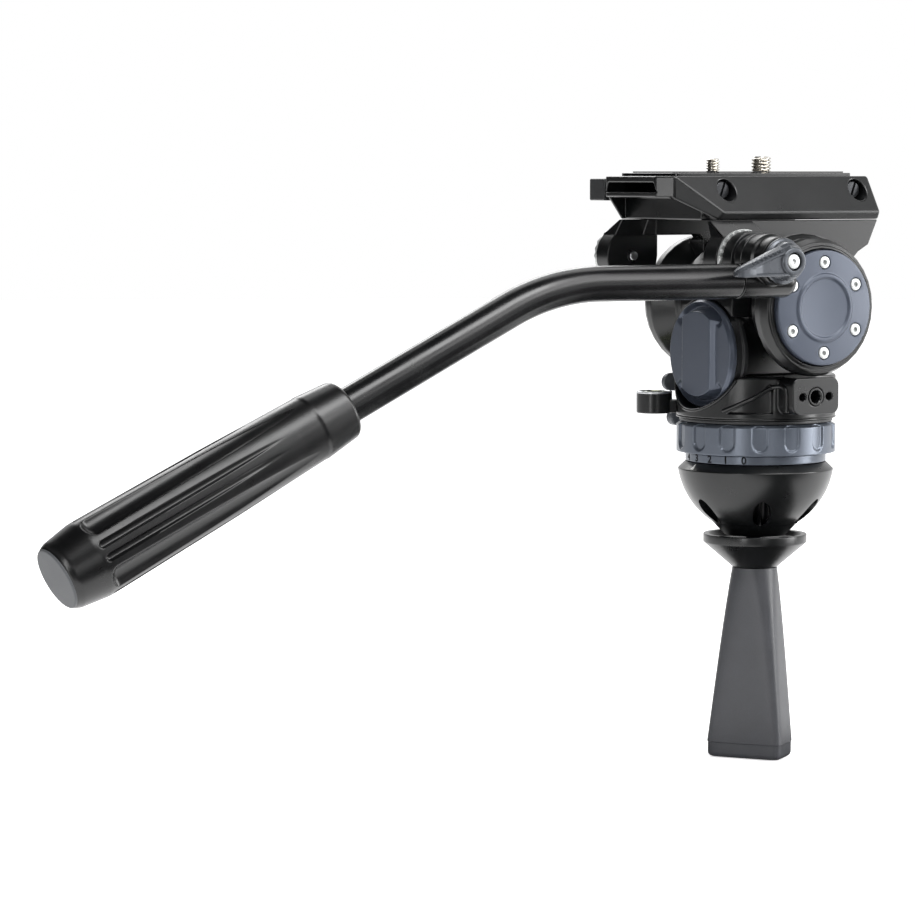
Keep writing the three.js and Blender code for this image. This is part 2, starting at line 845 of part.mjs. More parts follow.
// The tilt drag knob: a dished disc with a wide finger bar across it.
function tiltDragKnob() {
  const disc = turned([
    [0, knobBack], [knobRadius - knobBevel / 2, knobBack], [knobRadius, knobBack + knobBevel / 2],
    [knobRadius, knobRim - knobBevel], [knobRadius - knobBevel, knobRim],
    [knobRadius - knobBevel * 2, knobRim], [knobDishRadius, knobRim - knobDish], [0, knobRim - knobDish],
  ], fineSides);
  const foot = knobRim - knobDish - knobBevel;
  const barFoot = knobGripHalfWidth + knobGripSlope;
  const section = outlineOf([
    [-barFoot, foot], [barFoot, foot], [knobGripHalfWidth, knobGripFace - knobBevel],
    [knobGripHalfWidth - knobBevel, knobGripFace], [-knobGripHalfWidth + knobBevel, knobGripFace],
    [-knobGripHalfWidth, knobGripFace - knobBevel],
  ]);
  const bar = sidePrism(section, -knobRadius, knobRadius);
  const dome = turned([
    [0, foot - overrun], [knobRadius - knobBevel, foot - overrun], [knobRadius - knobBevel, knobRim - knobBevel],
    [knobRadius - knobBevel * 3, knobGripFace + seat], [0, knobGripFace + seat],
  ], fineSides);
  const grip = common(bar, dome);
  const shaftSocket = rod(knobShaftRadius + seat, knobBack - overrun, knobBack + knobBevel, shaftSides);
  return toRear(cut(joined(disc, grip), shaftSocket).rotateZ(Math.PI / 2));
}

function tiltDragShaft() {
  return toRear(rod(knobShaftRadius, knobBack - knobShaftLength, knobBack + knobBevel - seat, shaftSides));
}

// Bubble level

function levelCup() {
  const cup = turned([
    [0, levelBottom], [levelRadius - seat, levelBottom], [levelRadius, levelBottom + seat],
    [levelRadius, levelTop - seat], [levelRadius - seat, levelTop],
    [levelRecessRadius, levelTop], [levelRecessRadius, levelTop - levelRecessDepth],
    [0, levelTop - levelRecessDepth],
  ], midSides).translate(levelX, levelY, 0);
  const distance = Math.hypot(levelX, levelY);
  const heading = Math.atan2(levelY, levelX);
  const armTop = levelTop - levelRecessDepth - seat;
  const arm = planPrism(
    outlineOf([
      [baseRadius - levelRadius, -levelArmWidth / 2], [distance, -levelArmWidth / 2],
      [distance, levelArmWidth / 2], [baseRadius - levelRadius, levelArmWidth / 2],
    ]),
    armTop - levelArmHeight,
    armTop,
  ).rotateZ(heading);
  const wall = rod(baseRadius + seat, levelBottom - overrun, levelTop + overrun, fineSides);
  return cut(joined(cup, arm), wall);
}

function levelVial() {
  const floor = levelTop - levelRecessDepth + seat / 3;
  const radius = levelRecessRadius - seat;
  return turned([
    [0, floor], [radius, floor], [radius, levelTop - seat * 2],
    [radius * vialCrownShare, levelTop + seat], [0, levelTop + seat * 2],
  ], smallSides).translate(levelX, levelY, 0);
}

// Friction locks, each a lever on its own threaded stem

function panLockLever() {
  const hub = toLeft(rod(panLockHub, baseRadius + seat * 2, panLockOuter, smallSides));
  const outline = leverOutline(panLockHub, panLockReach - panLockTipRadius, panLockTipRadius, panLockDroop);
  const arm = sidePrism(outline, panLockInner, panLockOuter);
  const stemHole = toLeft(rod(lockStemRadius + seat, baseRadius, panLockOuter - panLockHub / 2, holeSides));
  return cut(joined(hub, arm), stemHole);
}

function lockStem(inner, outer) {
  return toLeft(rod(lockStemRadius, inner, outer, holeSides));
}

function tiltLockLever() {
  const inner = lockFlatY + seat;
  const hub = toLeft(rod(tiltLockHub, inner, tiltLockOuter, smallSides));
  const outline = leverOutline(tiltLockHub, tiltLockReach - tiltLockTipRadius, tiltLockTipRadius, 0);
  const arm = sidePrism(outline, inner, inner + tiltLockArm);
  const stemHole = toLeft(rod(lockStemRadius + seat, baseRadius / 2, tiltLockOuter - tiltLockHub / 4, holeSides));
  return cut(joined(hub, arm), stemHole);
}

// The flat on the base housing that lets the tilt lock in under the passing lug.
function lockFlat() {
  const outline = roundedOutline(
    tiltLockX - lockFlatReach,
    tiltLockHeight - tiltLockHub - seat * 3,
    tiltLockX + tiltLockHub + seat * 3,
    baseTop + overrun,
    tiltLockHub / 2,
  );
  return sidePrism(outline, lockFlatY, baseRadius + overrun, softCurve);
}

// Platform

// The body is one section run along X and trimmed to its plan. Below its tail it is cut
// back to a wall, and a thin skirt runs on from each side of that wall.
function platformBody() {
  const section = outlineOf([
    [-bottomHalfWidth, platformBottom], [bottomHalfWidth, platformBottom],
    [flareHalfWidth, flareHeight], [railHalfWidth, platformTop],
    [channelHalfWidth, platformTop], [channelHalfWidth, channelStep],
    [dovetailTopHalf, channelStep], [dovetailBottomHalf, channelFloor],
    [-dovetailBottomHalf, channelFloor], [-dovetailTopHalf, channelStep],
    [-channelHalfWidth, channelStep], [-channelHalfWidth, platformTop],
    [-railHalfWidth, platformTop], [-flareHalfWidth, flareHeight],
  ]);
  const run = endPrism(section, -platformRear, platformFront);
  const trimmed = common(run, planPrism(platformPlan(), platformBottom - overrun, platformTop + overrun));
  const innerHalf = railHalfWidth - skirtWidth;
  const underTail = planPrism(
    outlineOf([
      [-tailWallX, -tailWallHalf], [-tailWallX, tailWallHalf], [-rearCornerX, innerHalf],
      [-platformRear - overrun, innerHalf], [-platformRear - overrun, -innerHalf], [-rearCornerX, -innerHalf],
    ]),
    platformBottom - overrun,
    tailUnderside,
  );
  const outside = flareHalfWidth + overrun;
  const behindWall = planPrism(
    outlineOf([
      [-platformRear - overrun, -outside], [-tailWallX, -outside],
      [-tailWallX, outside], [-platformRear - overrun, outside],
    ]),
    platformBottom - overrun,
    platformTop,
  );
  const rightEdge = skirtEdge(skirtFrontRight);
  return cut(
    trimmed,
    underTail,
    sidePrism(rightEdge, -outside, -tailWallHalf),
    common(sidePrism(rightEdge, -outside, 0), behindWall),
    sidePrism(skirtEdge(skirtFrontLeft), 0, outside),
  );
}

function platformPlan() {
  const outside = flareHalfWidth + seat;
  return outlineOf([
    [-platformRear, -rearHalfWidth], [-rearCornerX, -railHalfWidth], [-flareRearX, -outside],
    [platformFront, -outside], [platformFront, outside],
    [-flareRearX, outside], [-rearCornerX, railHalfWidth], [-platformRear, rearHalfWidth],
  ]);
}

// The end of the body in front, a loft that draws in and down from the body's section.
function platformNose() {
  const halves = [
    [bottomHalfWidth, platformBottom], [flareHalfWidth, flareHeight], [railHalfWidth, platformTop],
  ];
  const ringAt = (x, inset, drop) => {
    const rising = halves.map(([y, z], row) => [x, y - inset * (row < 2 ? 2 : 1), Math.min(z, platformTop - drop)]);
    const falling = rising.map(([, y, z]) => [x, -y, z]).reverse();
    return [...falling, ...rising].flat();
  };
  const positions = [...ringAt(platformFront - overrun, 0, 0), ...ringAt(platformFront, 0, 0)];
  positions.push(...ringAt(platformFront + noseLength, noseInset, noseDrop));
  const channel = endPrism(
    outlineOf([
      [-channelHalfWidth, channelFloor], [channelHalfWidth, channelFloor],
      [channelHalfWidth, platformTop + overrun], [-channelHalfWidth, platformTop + overrun],
    ]),
    platformFront - overrun * 2,
    platformFront + noseLength + overrun,
  );
  return cut(lofted(positions, 3, halves.length * 2), channel);
}

// The space below a skirt, whose lower edge climbs to the rear from the given place.
function skirtEdge(frontX) {
  const slope = (tailUnderside - platformBottom) / (skirtRearX - frontX);
  return outlineOf([
    [-platformRear - overrun, platformBottom - overrun], [-frontX + overrun / slope, platformBottom - overrun],
    [-skirtRearX, tailUnderside], [-platformRear - overrun, tailUnderside],
  ]);
}

// The stop bar across the rear of the channel, over a raised floor.
function channelBridge() {
  const half = channelHalfWidth + seat;
  const bar = outlineOf([[-half, bridgeBottom], [half, bridgeBottom], [half, platformTop], [-half, platformTop]]);
  const floor = outlineOf([
    [-dovetailBottomHalf, channelFloor - seat], [dovetailBottomHalf, channelFloor - seat],
    [dovetailBottomHalf, tailFloor], [-dovetailBottomHalf, tailFloor],
  ]);
  const stop = joined(
    endPrism(bar, -platformRear, -platformRear + bridgeLength),
    endPrism(floor, -platformRear, -tailWallX),
  );
  return common(stop, planPrism(platformPlan(), platformBottom, platformTop + overrun));
}

function cheek(outer) {
  const top = platformBottom - seat;
  return sidePrism(
    outlineOf([
      [-cheekRearX, top], [-cheekRearX, cheekRearHeight], [-cheekThroatX, cheekRearHeight],
      [-cheekThroatX + cheekFillet, cheekRearHeight - cheekFillet],
      [-cheekThroatX + cheekFillet, drumNeckRadius * 0.8], [drumNeckRadius * 0.8, 0],
      [drumNeckRadius, cheekChinHeight * 0.7], [cheekChinX - cheekFillet, cheekChinHeight - cheekFillet],
      [cheekChinX, cheekChinHeight], [cheekNoseX, cheekNoseHeight], [platformFront, top],
    ]),
    -outer,
    -cheekInner,
  );
}

// The flare that eases the cheek into the drum.
function drumBlend() {
  const flare = toRight(turned([
    [0, cheekInner], [blendRadius, cheekInner], [blendRadius, cheekOuter], [drumRadius, drumBoreFloor],
    [0, drumBoreFloor],
  ], fineSides));
  return common(flare, cheek(drumBoreFloor));
}

// The dished drum shell that stands on the cheek, bored for its fluid cartridge.
function drumShell() {
  return toRight(turned([
    [drumThroatRadius, cheekInner], [drumNeckRadius, cheekInner], [drumNeckRadius, drumConeStart],
    [drumRadius, drumConeEnd], [drumRadius, drumLandEnd], [drumFaceRadius, drumFace],
    [drumLipRadius, drumFace], [drumLipRadius - seat, drumLipFace], [drumBoreRadius, drumLipFace],
    [drumBoreRadius, drumBoreFloor], [drumThroatRadius, drumBoreFloor],
  ], fineSides));
}

function drumThroat() {
  return toRight(rod(drumThroatRadius, cheekInner - overrun, drumBoreFloor + seat, fineSides));
}

// The tongue that carries the rosette, hung by a neck that leans in to the cheek.
function lug(boreRadius) {
  const top = platformBottom - seat;
  const shape = new THREE.Shape();
  shape.absarc(-lugX, lugHeight, lugRadius, lugShoulderAngle, Math.PI * 2, false);
  shape.lineTo(-lugX + lugRadius, top);
  shape.lineTo(-lugShoulderX, top);
  const tongue = sidePrism(shape, -lugOuter, -lugTopInner);
  const hollow = sidePrism(
    roundedOutline(-lugX - lugRadius - overrun, lugHeight - lugRadius - overrun, -lugX + lugRadius + overrun,
      cheekRearHeight, towerCorner),
    -lugInner,
    -lugTopInner + overrun,
  );
  const innerSlope = endPrism(
    outlineOf([
      [-lugInner, cheekRearHeight - overrun], [-lugTopInner + overrun, cheekRearHeight - overrun],
      [-lugTopInner + overrun, top], [-lugTopInner, top], [-lugInner, cheekRearHeight],
    ]),
    -platformRear,
    -cheekRearX,
  );
  const outerSlope = endPrism(
    outlineOf([
      [-lugOuter - overrun, lugSlopeHeight], [-lugOuter, lugSlopeHeight], [-lugTopOuter, top],
      [-lugTopOuter, top + overrun], [-lugOuter - overrun, top + overrun],
    ]),
    -platformRear,
    0,
  );
  const bore = toRight(rod(boreRadius + seat, cheekInner, lugOuter + overrun, shaftSides)).translate(-lugX, 0, lugHeight);
  return cut(tongue, hollow, innerSlope, outerSlope, bore);
}

// One drum with its cheek and lug, made for the operator's right.
function drumHousing(boreRadius) {
  return cut(joined(cheek(cheekOuter), drumBlend(), drumShell(), lug(boreRadius)), drumThroat());
}

function mirroredLeft(geometry) {
  return flipped(welded(geometry).scale(1, -1, 1));
}

function sideHole(x) {
  const drill = toRight(rod(sideHoleRadius, flareHalfWidth - sideHoleDepth, flareHalfWidth + overrun, shaftSides));
  return drill.translate(x, 0, sideHoleHeight);
}

function platform() {
  const stemBottom = plateLockBottom - plateLockStemLength - seat;
  const stemHole = rod(plateLockStem + seat, stemBottom, plateLockBottom + overrun, holeSides);
  return cut(
    joined(platformBody(), platformNose(), channelBridge(), plateLockBoss()),
    sideHole(sideHoleRearX),
    sideHole(sideHoleFrontX),
    stemHole.translate(plateLockX, plateLockY, 0),
  );
}

function plateLockBoss() {
  const outline = new THREE.Shape();
  outline.absarc(plateLockX, plateLockY, plateLockHub, 0, Math.PI * 2, false);
  const post = planPrism(outline, platformBottom, plateLockBottom - seat, fullCurve);
  const web = planPrism(
    outlineOf([
      [plateLockX - plateLockHub, bottomHalfWidth - plateLockHub],
      [plateLockX + plateLockHub, bottomHalfWidth - plateLockHub],
      [plateLockX + plateLockHub, plateLockY], [plateLockX - plateLockHub, plateLockY],
    ]),
    platformBottom,
    flareHeight,
  );
  return joined(post, web);
}

// Tilt drums

function tiltCartridge() {
  const throat = drumThroatRadius - seat;
  const body = toRight(turned([
    [axleRadius + seat, tiltCartridgeInner], [throat, tiltCartridgeInner], [throat, drumBoreFloor + seat],
    [drumBoreRadius - seat, drumBoreFloor + seat], [drumBoreRadius - seat, tiltCartridgeOuter],
    [axleRadius + seat, tiltCartridgeOuter],
  ], midSides));
  return cut(body, ...screwHoles(capScrewRadius + seat, tiltCartridgeOuter - capScrewLength));
}

function screwPlaces() {
  const places = [];
  for (let i = 0; i < capScrewCount; i += 1) {
    const angle = Math.PI / 2 + (i / capScrewCount) * Math.PI * 2;
    places.push([capScrewCircle * Math.cos(angle), capScrewCircle * Math.sin(angle)]);
  }
  return places;
}

function screwHoles(radius, from) {
  return screwPlaces().map(([x, z]) => toRight(rod(radius, from, capFace + overrun, screwSides)).translate(x, 0, z));
}

function drumCap() {
  const inner = tiltCartridgeOuter + seat;
  const rise = capFace + capRingRise;
  const body = toRight(turned([
    [0, inner], [capRadius, inner], [capRadius, capFace - capBevel], [capRadius - capBevel, capFace],
    [capRingRadius + capRingWidth, capFace], [capRingRadius + capRingWidth / 2, rise],
    [capRingRadius - capRingWidth / 2, rise], [capRingRadius - capRingWidth, capFace], [0, capFace],
  ], capSides));
  const headFloor = capFace - capScrewHeadHeight;
  return cut(
    body,
    ...screwHoles(capScrewRadius + seat, inner - overrun),
    ...screwHoles(capScrewHeadRadius + seat, headFloor - seat),
  );
}

function capScrew() {
  const tip = tiltCartridgeOuter - capScrewLength + seat;
  const headBottom = capFace - capScrewHeadHeight;
  return toRight(turned([
    [0, tip], [capScrewRadius, tip], [capScrewRadius, headBottom], [capScrewHeadRadius, headBottom], [capScrewHeadRadius, capFace],
    [0, capFace],
  ], screwSides));
}

function tiltAxle() {
  const half = tiltCartridgeOuter - seat;
  return toRight(rod(axleRadius, -half, half, smallSides));
}

// A disc with a ring of radial teeth on its outer face, made along +Z.
function toothedDisc(inner, outer, bottom, valley, peak, teeth) {
  const around = teeth * 2;
  const positions = [];
  for (let j = 0; j < around; j += 1) {
    const angle = (j / around) * Math.PI * 2;
    const height = j % 2 === 0 ? peak : valley;
    for (const [radius, level] of [[inner, bottom], [outer, bottom], [outer, height], [inner, height]]) {
      positions.push(radius * Math.cos(angle), radius * Math.sin(angle), level);
    }
  }
  const faces = [];
  for (let j = 0; j < around; j += 1) {
    const here = j * 4;
    const next = ((j + 1) % around) * 4;
    for (let k = 0; k < 4; k += 1) {
      const l = (k + 1) % 4;
      faces.push(here + k, next + k, next + l, here + k, next + l, here + l);
    }
  }
  const geometry = new THREE.BufferGeometry();
  geometry.setAttribute('position', new THREE.Float32BufferAttribute(positions, 3));
  geometry.setIndex(faces);
  return geometry;
}

function rosette() {
  const bottom = lugOuter + seat;
  const valley = bottom + rosettePlate;
  return toRight(toothedDisc(rosetteBore, rosetteRadius, bottom, valley, valley + toothHeight, toothCount));
}

function rosetteScrew() {
  const tip = lugInner - rosetteScrewRise;
  const head = lugOuter + seat;
  return toLeft(turned([
    [0, tip], [rosetteScrewRadius - seat, tip], [rosetteScrewRadius, tip + seat], [rosetteScrewRadius, head],
    [rosetteBore - seat, head], [rosetteBore - seat, head + rosettePlate], [0, head + rosettePlate],
  ], smallSides));
}

// Camera plate

function plateBlank() {
  const section = outlineOf([
    [-plateFootBottomHalf, plateFootBottom], [plateFootBottomHalf, plateFootBottom],
    [plateFootTopHalf, channelStep + seat], [plateHalfWidth, channelStep + seat],
    [plateHalfWidth, plateTop], [-plateHalfWidth, plateTop], [-plateHalfWidth, channelStep + seat],
    [-plateFootTopHalf, channelStep + seat],
  ]);
  const plan = planPrism(
    roundedOutline(-plateRear, -plateHalfWidth - seat, plateFront, plateHalfWidth + seat, plateCorner),
    plateFootBottom - overrun,
    plateTop + overrun,
    softCurve,
  );
  return common(endPrism(section, -plateRear, plateFront), plan);
}

function cameraPlate() {
  const pocketTop = plateFootBottom + screwPocketDepth;
  const bottom = plateFootBottom - overrun;
  const top = plateTop + overrun;
  const heel = endPrism(
    outlineOf([
      [-plateHalfWidth, bottom], [plateHalfWidth, bottom],
      [plateHalfWidth, channelStep], [-plateHalfWidth, channelStep],
    ]),
    -plateRear - overrun,
    -plateRear + plateHeel,
  );
  return cut(
    plateBlank(),
    heel,
    rod(quarterHeadRadius + seat, bottom, pocketTop, smallSides).translate(quarterScrewX, 0, 0),
    rod(largeHeadRadius + seat, bottom, pocketTop, smallSides).translate(largeScrewX, 0, 0),
    rod(quarterScrewRadius + seat, bottom, top, smallSides).translate(quarterScrewX, 0, 0),
    rod(largeScrewRadius + seat, bottom, top, smallSides).translate(largeScrewX, 0, 0),
  );
}

function platePad() {
  const outline = roundedOutline(
    -padRear,
    -plateHalfWidth + padMargin,
    padFront,
    plateHalfWidth - padMargin,
    plateCorner - padMargin,
  );
  const bottom = plateTop + seat / 3;
  return cut(
    planPrism(outline, bottom, bottom + padThickness, softCurve),
    rod(quarterHeadRadius, bottom - overrun, bottom + overrun, smallSides).translate(quarterScrewX, 0, 0),
    rod(largeHeadRadius, bottom - overrun, bottom + overrun, smallSides).translate(largeScrewX, 0, 0),
  );
}

function cameraScrew(radius, headRadius, rise) {
  const headTop = plateFootBottom + screwPocketDepth - seat;
  const tip = plateTop + padThickness + rise;
  const lead = radius / 5;
  return turned([
    [0, headTop - screwHeadHeight], [headRadius, headTop - screwHeadHeight], [headRadius, headTop],
    [radius, headTop], [radius, tip - lead], [radius - lead, tip], [0, tip],
  ], smallSides);
}

function plateLockLever() {
  const chamferInner = railHalfWidth + seat * 8;
  const arm = outlineOf([
    [-plateLockReach, chamferInner - plateLockY],
    [-plateLockReach + plateLockHub, chamferInner - plateLockY + seat],
    [-flareRearX - plateLockX, flareHalfWidth + seat - plateLockY], [0, -plateLockHub],
    [0, plateLockHub], [-flareRearX - plateLockX, plateLockHub / 2], [-plateLockReach, plateLockHub / 4],
  ]);
  const hub = rod(plateLockHub, plateLockBottom, plateLockTop, smallSides);
  const stem = rod(plateLockStem, plateLockBottom - plateLockStemLength, plateLockBottom + overrun, holeSides);
  return joined(planPrism(arm, plateLockBottom, plateLockTop), hub, stem);
}

// Pan bar. Its group sits on the clamp axis, so heights and x are measured from there.

function barSocket() {
  const barrel = toRight(turned([
    [boltRadius + seat, barrelInner], [barrelRadius, barrelInner], [barrelRadius, barrelShoulder],
    [barrelGrooveRadius, barrelShoulder], [barrelGrooveRadius, barrelStep],
    [barrelCollarRadius, barrelStep], [barrelCollarRadius, barrelCollarEnd],
    [barrelNeckRadius, barrelCollarEnd + barrelCollarRadius - barrelNeckRadius],
    [barrelNeckRadius, barrelEnd], [boltRadius + seat, barrelEnd],
  ], midSides));
  const rest = tubeRadius - tubeWall - seat;
  const socket = toRear(turned([
    [0, -socketFront], [tubeRadius - socketNoseLength, -socketFront],
    [tubeRadius - socketNoseLength * socketNoseRound, -socketFront + socketNoseLength * socketNoseRound],
    [tubeRadius, -socketFront + socketNoseLength], [tubeRadius, -seamX],
    [rest, -seamX], [rest, -seamX + spigotLength], [0, -seamX + spigotLength],
  ], midSides)).translate(0, -tubeY, -tubeDrop);
  const bore = toRight(rod(boltRadius + seat, barrelInner - overrun, barrelEnd + overrun, smallSides));
  return cut(joined(barrel, socket), bore);
}

// The centre line of the tube: straight, one bend, straight. Its parameter gives the bend
// most of the steps.
class BentLine extends THREE.Curve {
  getPoint(t) {
    const straightShare = 0.125;
    const bendShare = 1 - straightShare * 2;
    const startX = seamX - seat;
    if (t <= straightShare) {
      return new THREE.Vector3(THREE.MathUtils.lerp(startX, bendStartX, t / straightShare), 0, 0);
    }
    const turn = bendAngle * Math.min(1, (t - straightShare) / bendShare);
    const x = bendStartX - bendRadius * Math.sin(turn);
    const z = -bendRadius * (1 - Math.cos(turn));
    const run = Math.max(0, t - straightShare - bendShare) / straightShare * lowerLength;
    return new THREE.Vector3(x - run * Math.cos(bendAngle), 0, z - run * Math.sin(bendAngle));
  }

  getUtoTmapping(u) {
    return u;
  }
}

function barTube() {
  const section = new THREE.Shape();
  section.absarc(0, 0, tubeRadius, 0, Math.PI * 2, false);
  const hole = new THREE.Path();
  hole.absarc(0, 0, tubeRadius - tubeWall, 0, Math.PI * 2, true);
  section.holes.push(hole);
  const options = { steps: 8, bevelEnabled: false, extrudePath: new BentLine(), curveSegments: 9 };
  return new THREE.ExtrudeGeometry(section, options).translate(0, -tubeY, -tubeDrop);
}

// The grip is made along +Z from its mouth to its nose.
function gripBody() {
  const bore = tubeRadius + seat;
  const swell = gripLength - gripNoseLength;
  return turned([
    [bore, 0], [gripMouthRadius - gripLip, 0], [gripMouthRadius, gripLip],
    [gripCollarRadius, gripCollarLength], [gripCollarRadius - seat, gripCollarLength + seat],
    [THREE.MathUtils.lerp(gripCollarRadius, gripSwellRadius, gripWaistShare), swell / 2],
    [gripSwellRadius, swell - gripLip * 3], [gripSwellRadius, swell],
    [gripNoseRadius + gripLip, gripLength - gripLip * 2], [gripNoseRadius, gripLength],
    [capPlugRadius + seat, gripLength], [capPlugRadius + seat, gripLength - capPlugLength - seat],
    [bore, gripLength - capPlugLength - seat],
  ], capSides);
}

// A round-ended cutter along +Z, its axis at the given distance from the grip's axis.
function flute(radius, axis, from, to, angle, sides) {
  const nose = radius * fluteNoseShare;
  return turned([
    [0, from], [radius, from], [radius, to - nose],
    [radius * fluteNoseRound, to - nose * fluteNoseShare * fluteNoseRound], [0, to],
  ], sides).translate(axis, 0, 0).rotateZ(angle);
}

function grip() {
  const cutters = [];
  for (let i = 0; i < scoopCount; i += 1) {
    const angle = scoopPhase + (i / scoopCount) * Math.PI * 2;
    const between = angle + Math.PI / scoopCount;
    const scoopAxis = gripSwellRadius + scoopCutter - scoopDepth;
    cutters.push(flute(scoopCutter, scoopAxis, scoopStart, scoopEnd, angle, holeSides));
    for (const side of [-1, 1]) {
      const place = between + side * grooveSpread;
      cutters.push(flute(grooveRadius, grooveAxis, grooveStart, grooveEnd, place, grooveSides));
    }
  }
  return cut(gripBody(), ...cutters);
}

function gripEndCap() {
  return turned([
    [0, gripLength - capPlugLength], [capPlugRadius, gripLength - capPlugLength],
    [capPlugRadius, gripLength + seat],
    [gripNoseRadius, gripLength + seat], [gripNoseRadius, gripLength + capThickness - capLip],
    [gripNoseRadius - capLip, gripLength + capThickness], [0, gripLength + capThickness],
  ], capSides);
}

function clampLever() {
  const bore = boltRadius + seat;
  const bevel = seat * 3;
  const hub = toRight(turned([
    [bore, leverInner], [leverRimRadius, leverInner], [leverRimRadius, leverInner + leverTipHalf / 2],
    [leverHubRadius + seat, leverHubStart], [leverHubRadius, leverOuter - bevel],
    [leverHubRadius - bevel, leverOuter], [bore, leverOuter],
  ], midSides));
  const arm = sidePrism(
    leverOutline(leverHubRadius, leverReach - leverTipHalf, leverTipHalf, leverDroop),
    -leverArmOuter,
    -leverArmInner,
    fullCurve,
  );
  return cut(joined(hub, arm), toRight(rod(bore, leverInner - overrun, leverOuter + overrun, smallSides)));
}

function clampBolt() {
  return toRight(turned([
    [0, boltInner], [boltRadius, boltInner], [boltRadius, boltShoulder], [boltTipRadius, boltShoulder],
    [boltTipRadius, boltOuter - seat], [boltTipRadius - seat, boltOuter], [0, boltOuter],
  ], smallSides));
}

// Assembly, one group for each body that moves

function lowerBar() {
  const group = groupAt(
    bendStartX - bendRadius * Math.sin(bendAngle) - gripStart * Math.cos(bendAngle),
    -tubeY,
    -tubeDrop - bendRadius * (1 - Math.cos(bendAngle)) - gripStart * Math.sin(bendAngle),
    part('grip', grip(), gripRubber),
    part('grip_end_cap', gripEndCap(), capGrey),
  );
  group.rotation.y = -Math.PI / 2 - bendAngle;
  return group;
}

function panBar() {
  const lever = groupAt(
    0, 0, 0,
    part('clamp_lever', clampLever(), leverGrey),
    part('clamp_bolt', clampBolt(), steel),
  );
  return groupAt(
    -lugX,
    0,
    lugHeight,
    part('bar_socket', barSocket(), blackMetal),
    part('bar_tube', barTube(), blackMetal),
    lowerBar(),
    lever,
  );
}

function tiltingHead() {
  const capScrews = [];
  for (const [side, turn] of [['right', 0], ['left', Math.PI]]) {
    screwPlaces().forEach(([x, z], i) => {
      const screw = part(`cap_screw_${side}_${i + 1}`, capScrew(), steel);
      screw.position.set(turn ? -x : x, 0, z);
      screw.rotation.z = turn;
      capScrews.push(screw);
    });
  }
  const leftSide = groupAt(
    0, 0, 0,
    part('tilt_cartridge_left', tiltCartridge(), blackMetal),
    part('drum_cap_left', drumCap(), greyAccent),
  );
  leftSide.rotation.z = Math.PI;
  const rosetteLeft = part('rosette_left', rosette(), steel);
  rosetteLeft.rotation.z = Math.PI;
  const plate = groupAt(
    0, 0, 0,
    part('camera_plate', cameraPlate(), blackMetal),
    part('plate_pad', platePad(), corkBlack),
  );
  const quarterScrew = part(
    'quarter_inch_screw',
    cameraScrew(quarterScrewRadius, quarterHeadRadius, quarterScrewRise),
    steel,
  );
  quarterScrew.position.x = quarterScrewX;
  const largeScrew = part(
    'three_eighths_inch_screw',
    cameraScrew(largeScrewRadius, largeHeadRadius, largeScrewRise),
    steel,
  );
  largeScrew.position.x = largeScrewX;
  return groupAt(
    0, 0, tiltHeight,
    part('platform', platform(), blackMetal),
    part('drum_housing_right', drumHousing(boltRadius), blackMetal),
    part('drum_housing_left', mirroredLeft(drumHousing(rosetteScrewRadius)), blackMetal),
    part('tilt_cartridge_right', tiltCartridge(), blackMetal),
    part('drum_cap_right', drumCap(), greyAccent),
    leftSide,
    ...capScrews,
    part('tilt_axle', tiltAxle(), steel),
    groupAt(-lugX, 0, lugHeight, part('rosette_right', rosette(), steel), rosetteLeft,
      part('rosette_screw', rosetteScrew(), steel)),
    groupAt(plateLockX, plateLockY, 0, part('plate_lock_lever', plateLockLever(), blackPlastic)),
    plate,
    quarterScrew,
    largeScrew,
    panBar(),
  );
}

function panningHead() {
  const bearingRight = part('tilt_bearing_right', toRight(tiltBearing()), bronze);
  const bearingLeft = part('tilt_bearing_left', toLeft(tiltBearing()), bronze);
  return groupAt(
    0, 0, 0,
    part('base_housing', baseHousing(), blackMetal),
    part('thread_insert', threadInsert(), steel),
    part('centre_housing', centreHousing(), blackMetal),
    part('pan_skirt_ring', skirtRing(), blackPlastic),
    part('pan_bearing', panBearing(), steel),
    part('level_cup', levelCup(), blackPlastic),
    part('level_vial', levelVial(), vialGlass),
    groupAt(0, 0, tiltHeight, bearingRight, bearingLeft),
    groupAt(0, 0, knobHeight,
      part('knob_bezel', knobBezel(), blackPlastic),
      part('tilt_drag_knob', tiltDragKnob(), greyAccent),
      part('tilt_drag_shaft', tiltDragShaft(), steel)),
    groupAt(panLockX, 0, panLockHeight,
      part('pan_lock_lever', panLockLever(), leverGrey),
      part('pan_lock_stem', lockStem(baseRadius - lockStemLength + seat, panLockOuter - panLockHub / 2 - seat), steel)),
    groupAt(tiltLockX, 0, tiltLockHeight,
      part('tilt_lock_lever', tiltLockLever(), leverGrey),
      part('tilt_lock_stem', lockStem(baseRadius - lockStemLength, tiltLockOuter - tiltLockHub / 4 - seat), steel)),
    tiltingHead(),
  );
}

function tieDown() {
  return groupAt(
    0, 0, 0,
    part('clamp_cup', clampCup(), blackMetal),
    part('tie_down_handle', tieDownHandle(), blackPlastic),
    part('handle_nut', handleNut(), bronze),
  );
}

const videoHead = groupAt(
  0, 0, 0,
  part('half_ball', halfBall(), blackMetal),
  part('tie_down_stud', tieDownStud(), steel),
  part('pan_cartridge', panCartridge(), blackMetal),
  part('pan_spindle', panSpindle(), steel),
  part('pan_drag_ring', panDragRing(), greyAccent),
  tieDown(),
  panningHead(),
);
videoHead.name = 'fluid_video_head';

export default videoHead;
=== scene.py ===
"""The dressed fluid video head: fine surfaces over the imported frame, finishes, light and camera."""
import math

